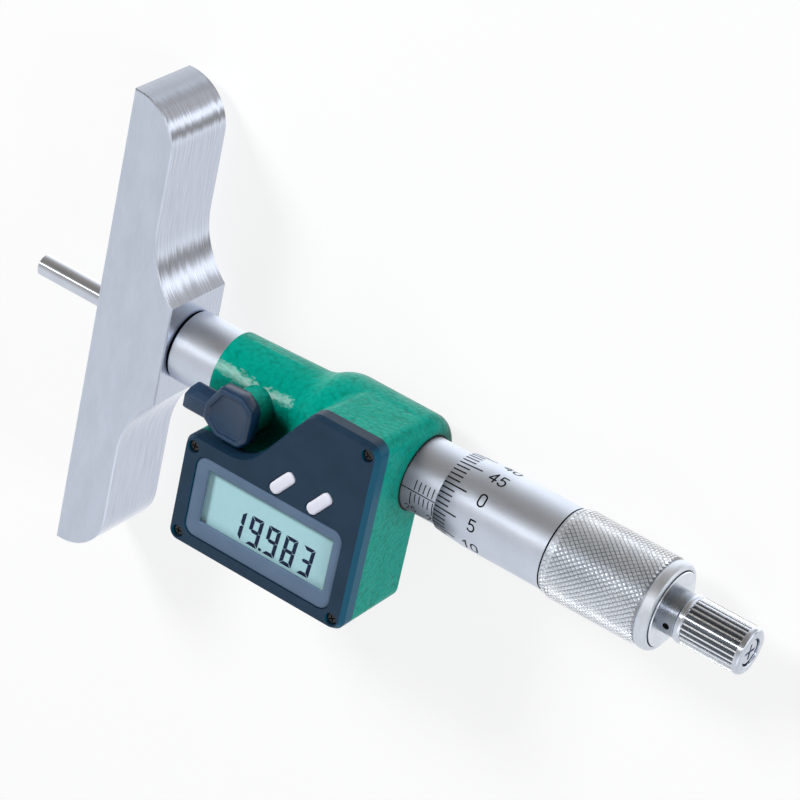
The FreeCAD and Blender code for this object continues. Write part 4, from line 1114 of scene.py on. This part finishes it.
def floorPiece():
    bm = bmesh.new()
    bmesh.ops.create_grid(bm, x_segments=2, y_segments=2, size=3000)
    bmesh.ops.translate(bm, verts=bm.verts, vec=(50, 0, studio["floor"]))
    piece = meshPiece("floor", bm)
    material, tree, shader, place = newMaterial("floor_paper")
    grain = addNode(tree, "ShaderNodeTexNoise", {
        "Vector": grained(tree, place, (30, 30, 30)), "Scale": 1.0, "Detail": 2.0})
    fill(tree, shader, {
        "Base Color": addNode(tree, "ShaderNodeValToRGB", {"Fac": grain},
                              [(0.0, "#F4F4F4"), (1.0, "#FAFAFA")]),
        "Roughness": 0.9})
    path = addNode(tree, "ShaderNodeLightPath").outputs
    seen = addNode(tree, "ShaderNodeMath", {0: path["Is Camera Ray"], 1: path["Is Transmission Ray"]},
                   operation="MAXIMUM")
    glow = addNode(tree, "ShaderNodeEmission", {"Color": (1, 1, 1, 1), "Strength": 1.0})
    share = addNode(tree, "ShaderNodeMath", {0: seen, 1: 1 - studio["shade"]}, operation="MULTIPLY")
    mix = addNode(tree, "ShaderNodeMixShader", {0: share, 1: shader, 2: glow})
    fill(tree, tree.nodes["Material Output"], {"Surface": mix})
    paint(piece, material)
    piece.visible_glossy = False


floorPiece()


def buildWorld(s):
    # white to the camera, an even soft light for matt surfaces, bands and cards for gloss
    world = bpy.data.worlds.new("studio")
    bpy.context.scene.world = world
    world.use_nodes = True
    tree = world.node_tree
    ray = addNode(tree, "ShaderNodeTexCoord").outputs["Generated"]
    ray = addNode(tree, "ShaderNodeVectorMath", {0: ray}, operation="NORMALIZE")
    parts = addNode(tree, "ShaderNodeSeparateXYZ", {0: ray}).outputs
    angle = addNode(tree, "ShaderNodeMath", {0: parts[2], 1: parts[1]}, operation="ARCTAN2")
    share = addNode(tree, "ShaderNodeMapRange", {"Value": angle, "From Min": -math.pi, "From Max": math.pi})
    scale = s["scale"]
    stops = [((degrees + 180) / 360, (level / scale,) * 3 + (1,)) for degrees, level in s["round"]]
    band = addNode(tree, "ShaderNodeValToRGB", {"Fac": share}, stops)
    level = addNode(tree, "ShaderNodeMath", {0: band, 1: scale}, operation="MULTIPLY")
    for direction, inner, outer, brightness in s["cards"]:
        unit = tuple(Vector(direction).normalized())
        near = addNode(tree, "ShaderNodeVectorMath", {
            0: ray, 1: unit}, operation="DOT_PRODUCT").outputs["Value"]
        mask = addNode(tree, "ShaderNodeMapRange", {
            "Value": near, "From Min": math.cos(math.radians(outer)),
            "From Max": math.cos(math.radians(inner))},
            interpolation_type="SMOOTHSTEP")
        level = addNode(tree, "ShaderNodeMix", {0: mask, 2: level, 3: brightness}, data_type="FLOAT")
    path = addNode(tree, "ShaderNodeLightPath").outputs
    plain = addNode(tree, "ShaderNodeMix", {0: path["Is Glossy Ray"], 2: s["diffuse"], 3: level},
                    data_type="FLOAT")
    seen = addNode(tree, "ShaderNodeMath", {0: path["Is Camera Ray"], 1: path["Is Transmission Ray"]},
                   operation="MAXIMUM")
    strength = addNode(tree, "ShaderNodeMix", {0: seen, 2: plain, 3: 1.0}, data_type="FLOAT")
    # the dark parts of the room are a little warmer than the lamps
    cool = addNode(tree, "ShaderNodeMapRange", {"Value": level, "From Min": 0.25, "From Max": 0.9})
    plainRay = addNode(tree, "ShaderNodeMath", {0: 1.0, 1: path["Is Glossy Ray"]}, operation="SUBTRACT")
    cool = addNode(tree, "ShaderNodeMath", {0: cool, 1: plainRay}, operation="MAXIMUM")
    tint = addNode(tree, "ShaderNodeMix", {"Factor": cool, 6: (1.1, 1.0, 0.88, 1), 7: (1, 1, 1, 1)},
                   data_type="RGBA").outputs[2]
    fill(tree, tree.nodes["Background"], {"Strength": strength, "Color": tint})


buildWorld(studio)


lamps = {  # place in metres, width and height, watts, colour
    "key_box": ((-0.62, 0.63, 0.63), (0.3, 0.3), 12.0, "#FFFFFF"),
    "fill_box": ((0.5, -0.6, 0.7), (0.6, 0.6), 1.8, "#F4F7FF"),
    "side_box": ((1.0, 0.1, 0.35), (0.5, 0.4), 5.0, "#F4F7FF"),
}
lampTarget = Vector((0.05, 0, 0))  # the middle of the instrument


def softbox(name, place, size, power, colour):
    data = bpy.data.lights.new(name, "AREA")
    data.shape = "RECTANGLE"
    data.size, data.size_y = size
    data.energy = power
    data.color = linear(colour)[:3]
    lamp = link(bpy.data.objects.new(name, data))
    lamp.location = Vector(place)
    lamp.rotation_euler = (lampTarget - Vector(place)).to_track_quat("-Z", "Y").to_euler()
    lamp.visible_glossy = False  # the bands and cards are what gloss sees


for name, values in lamps.items():
    softbox(name, *values)

bpy.context.scene.view_settings.view_transform = "Standard"
print("finish")
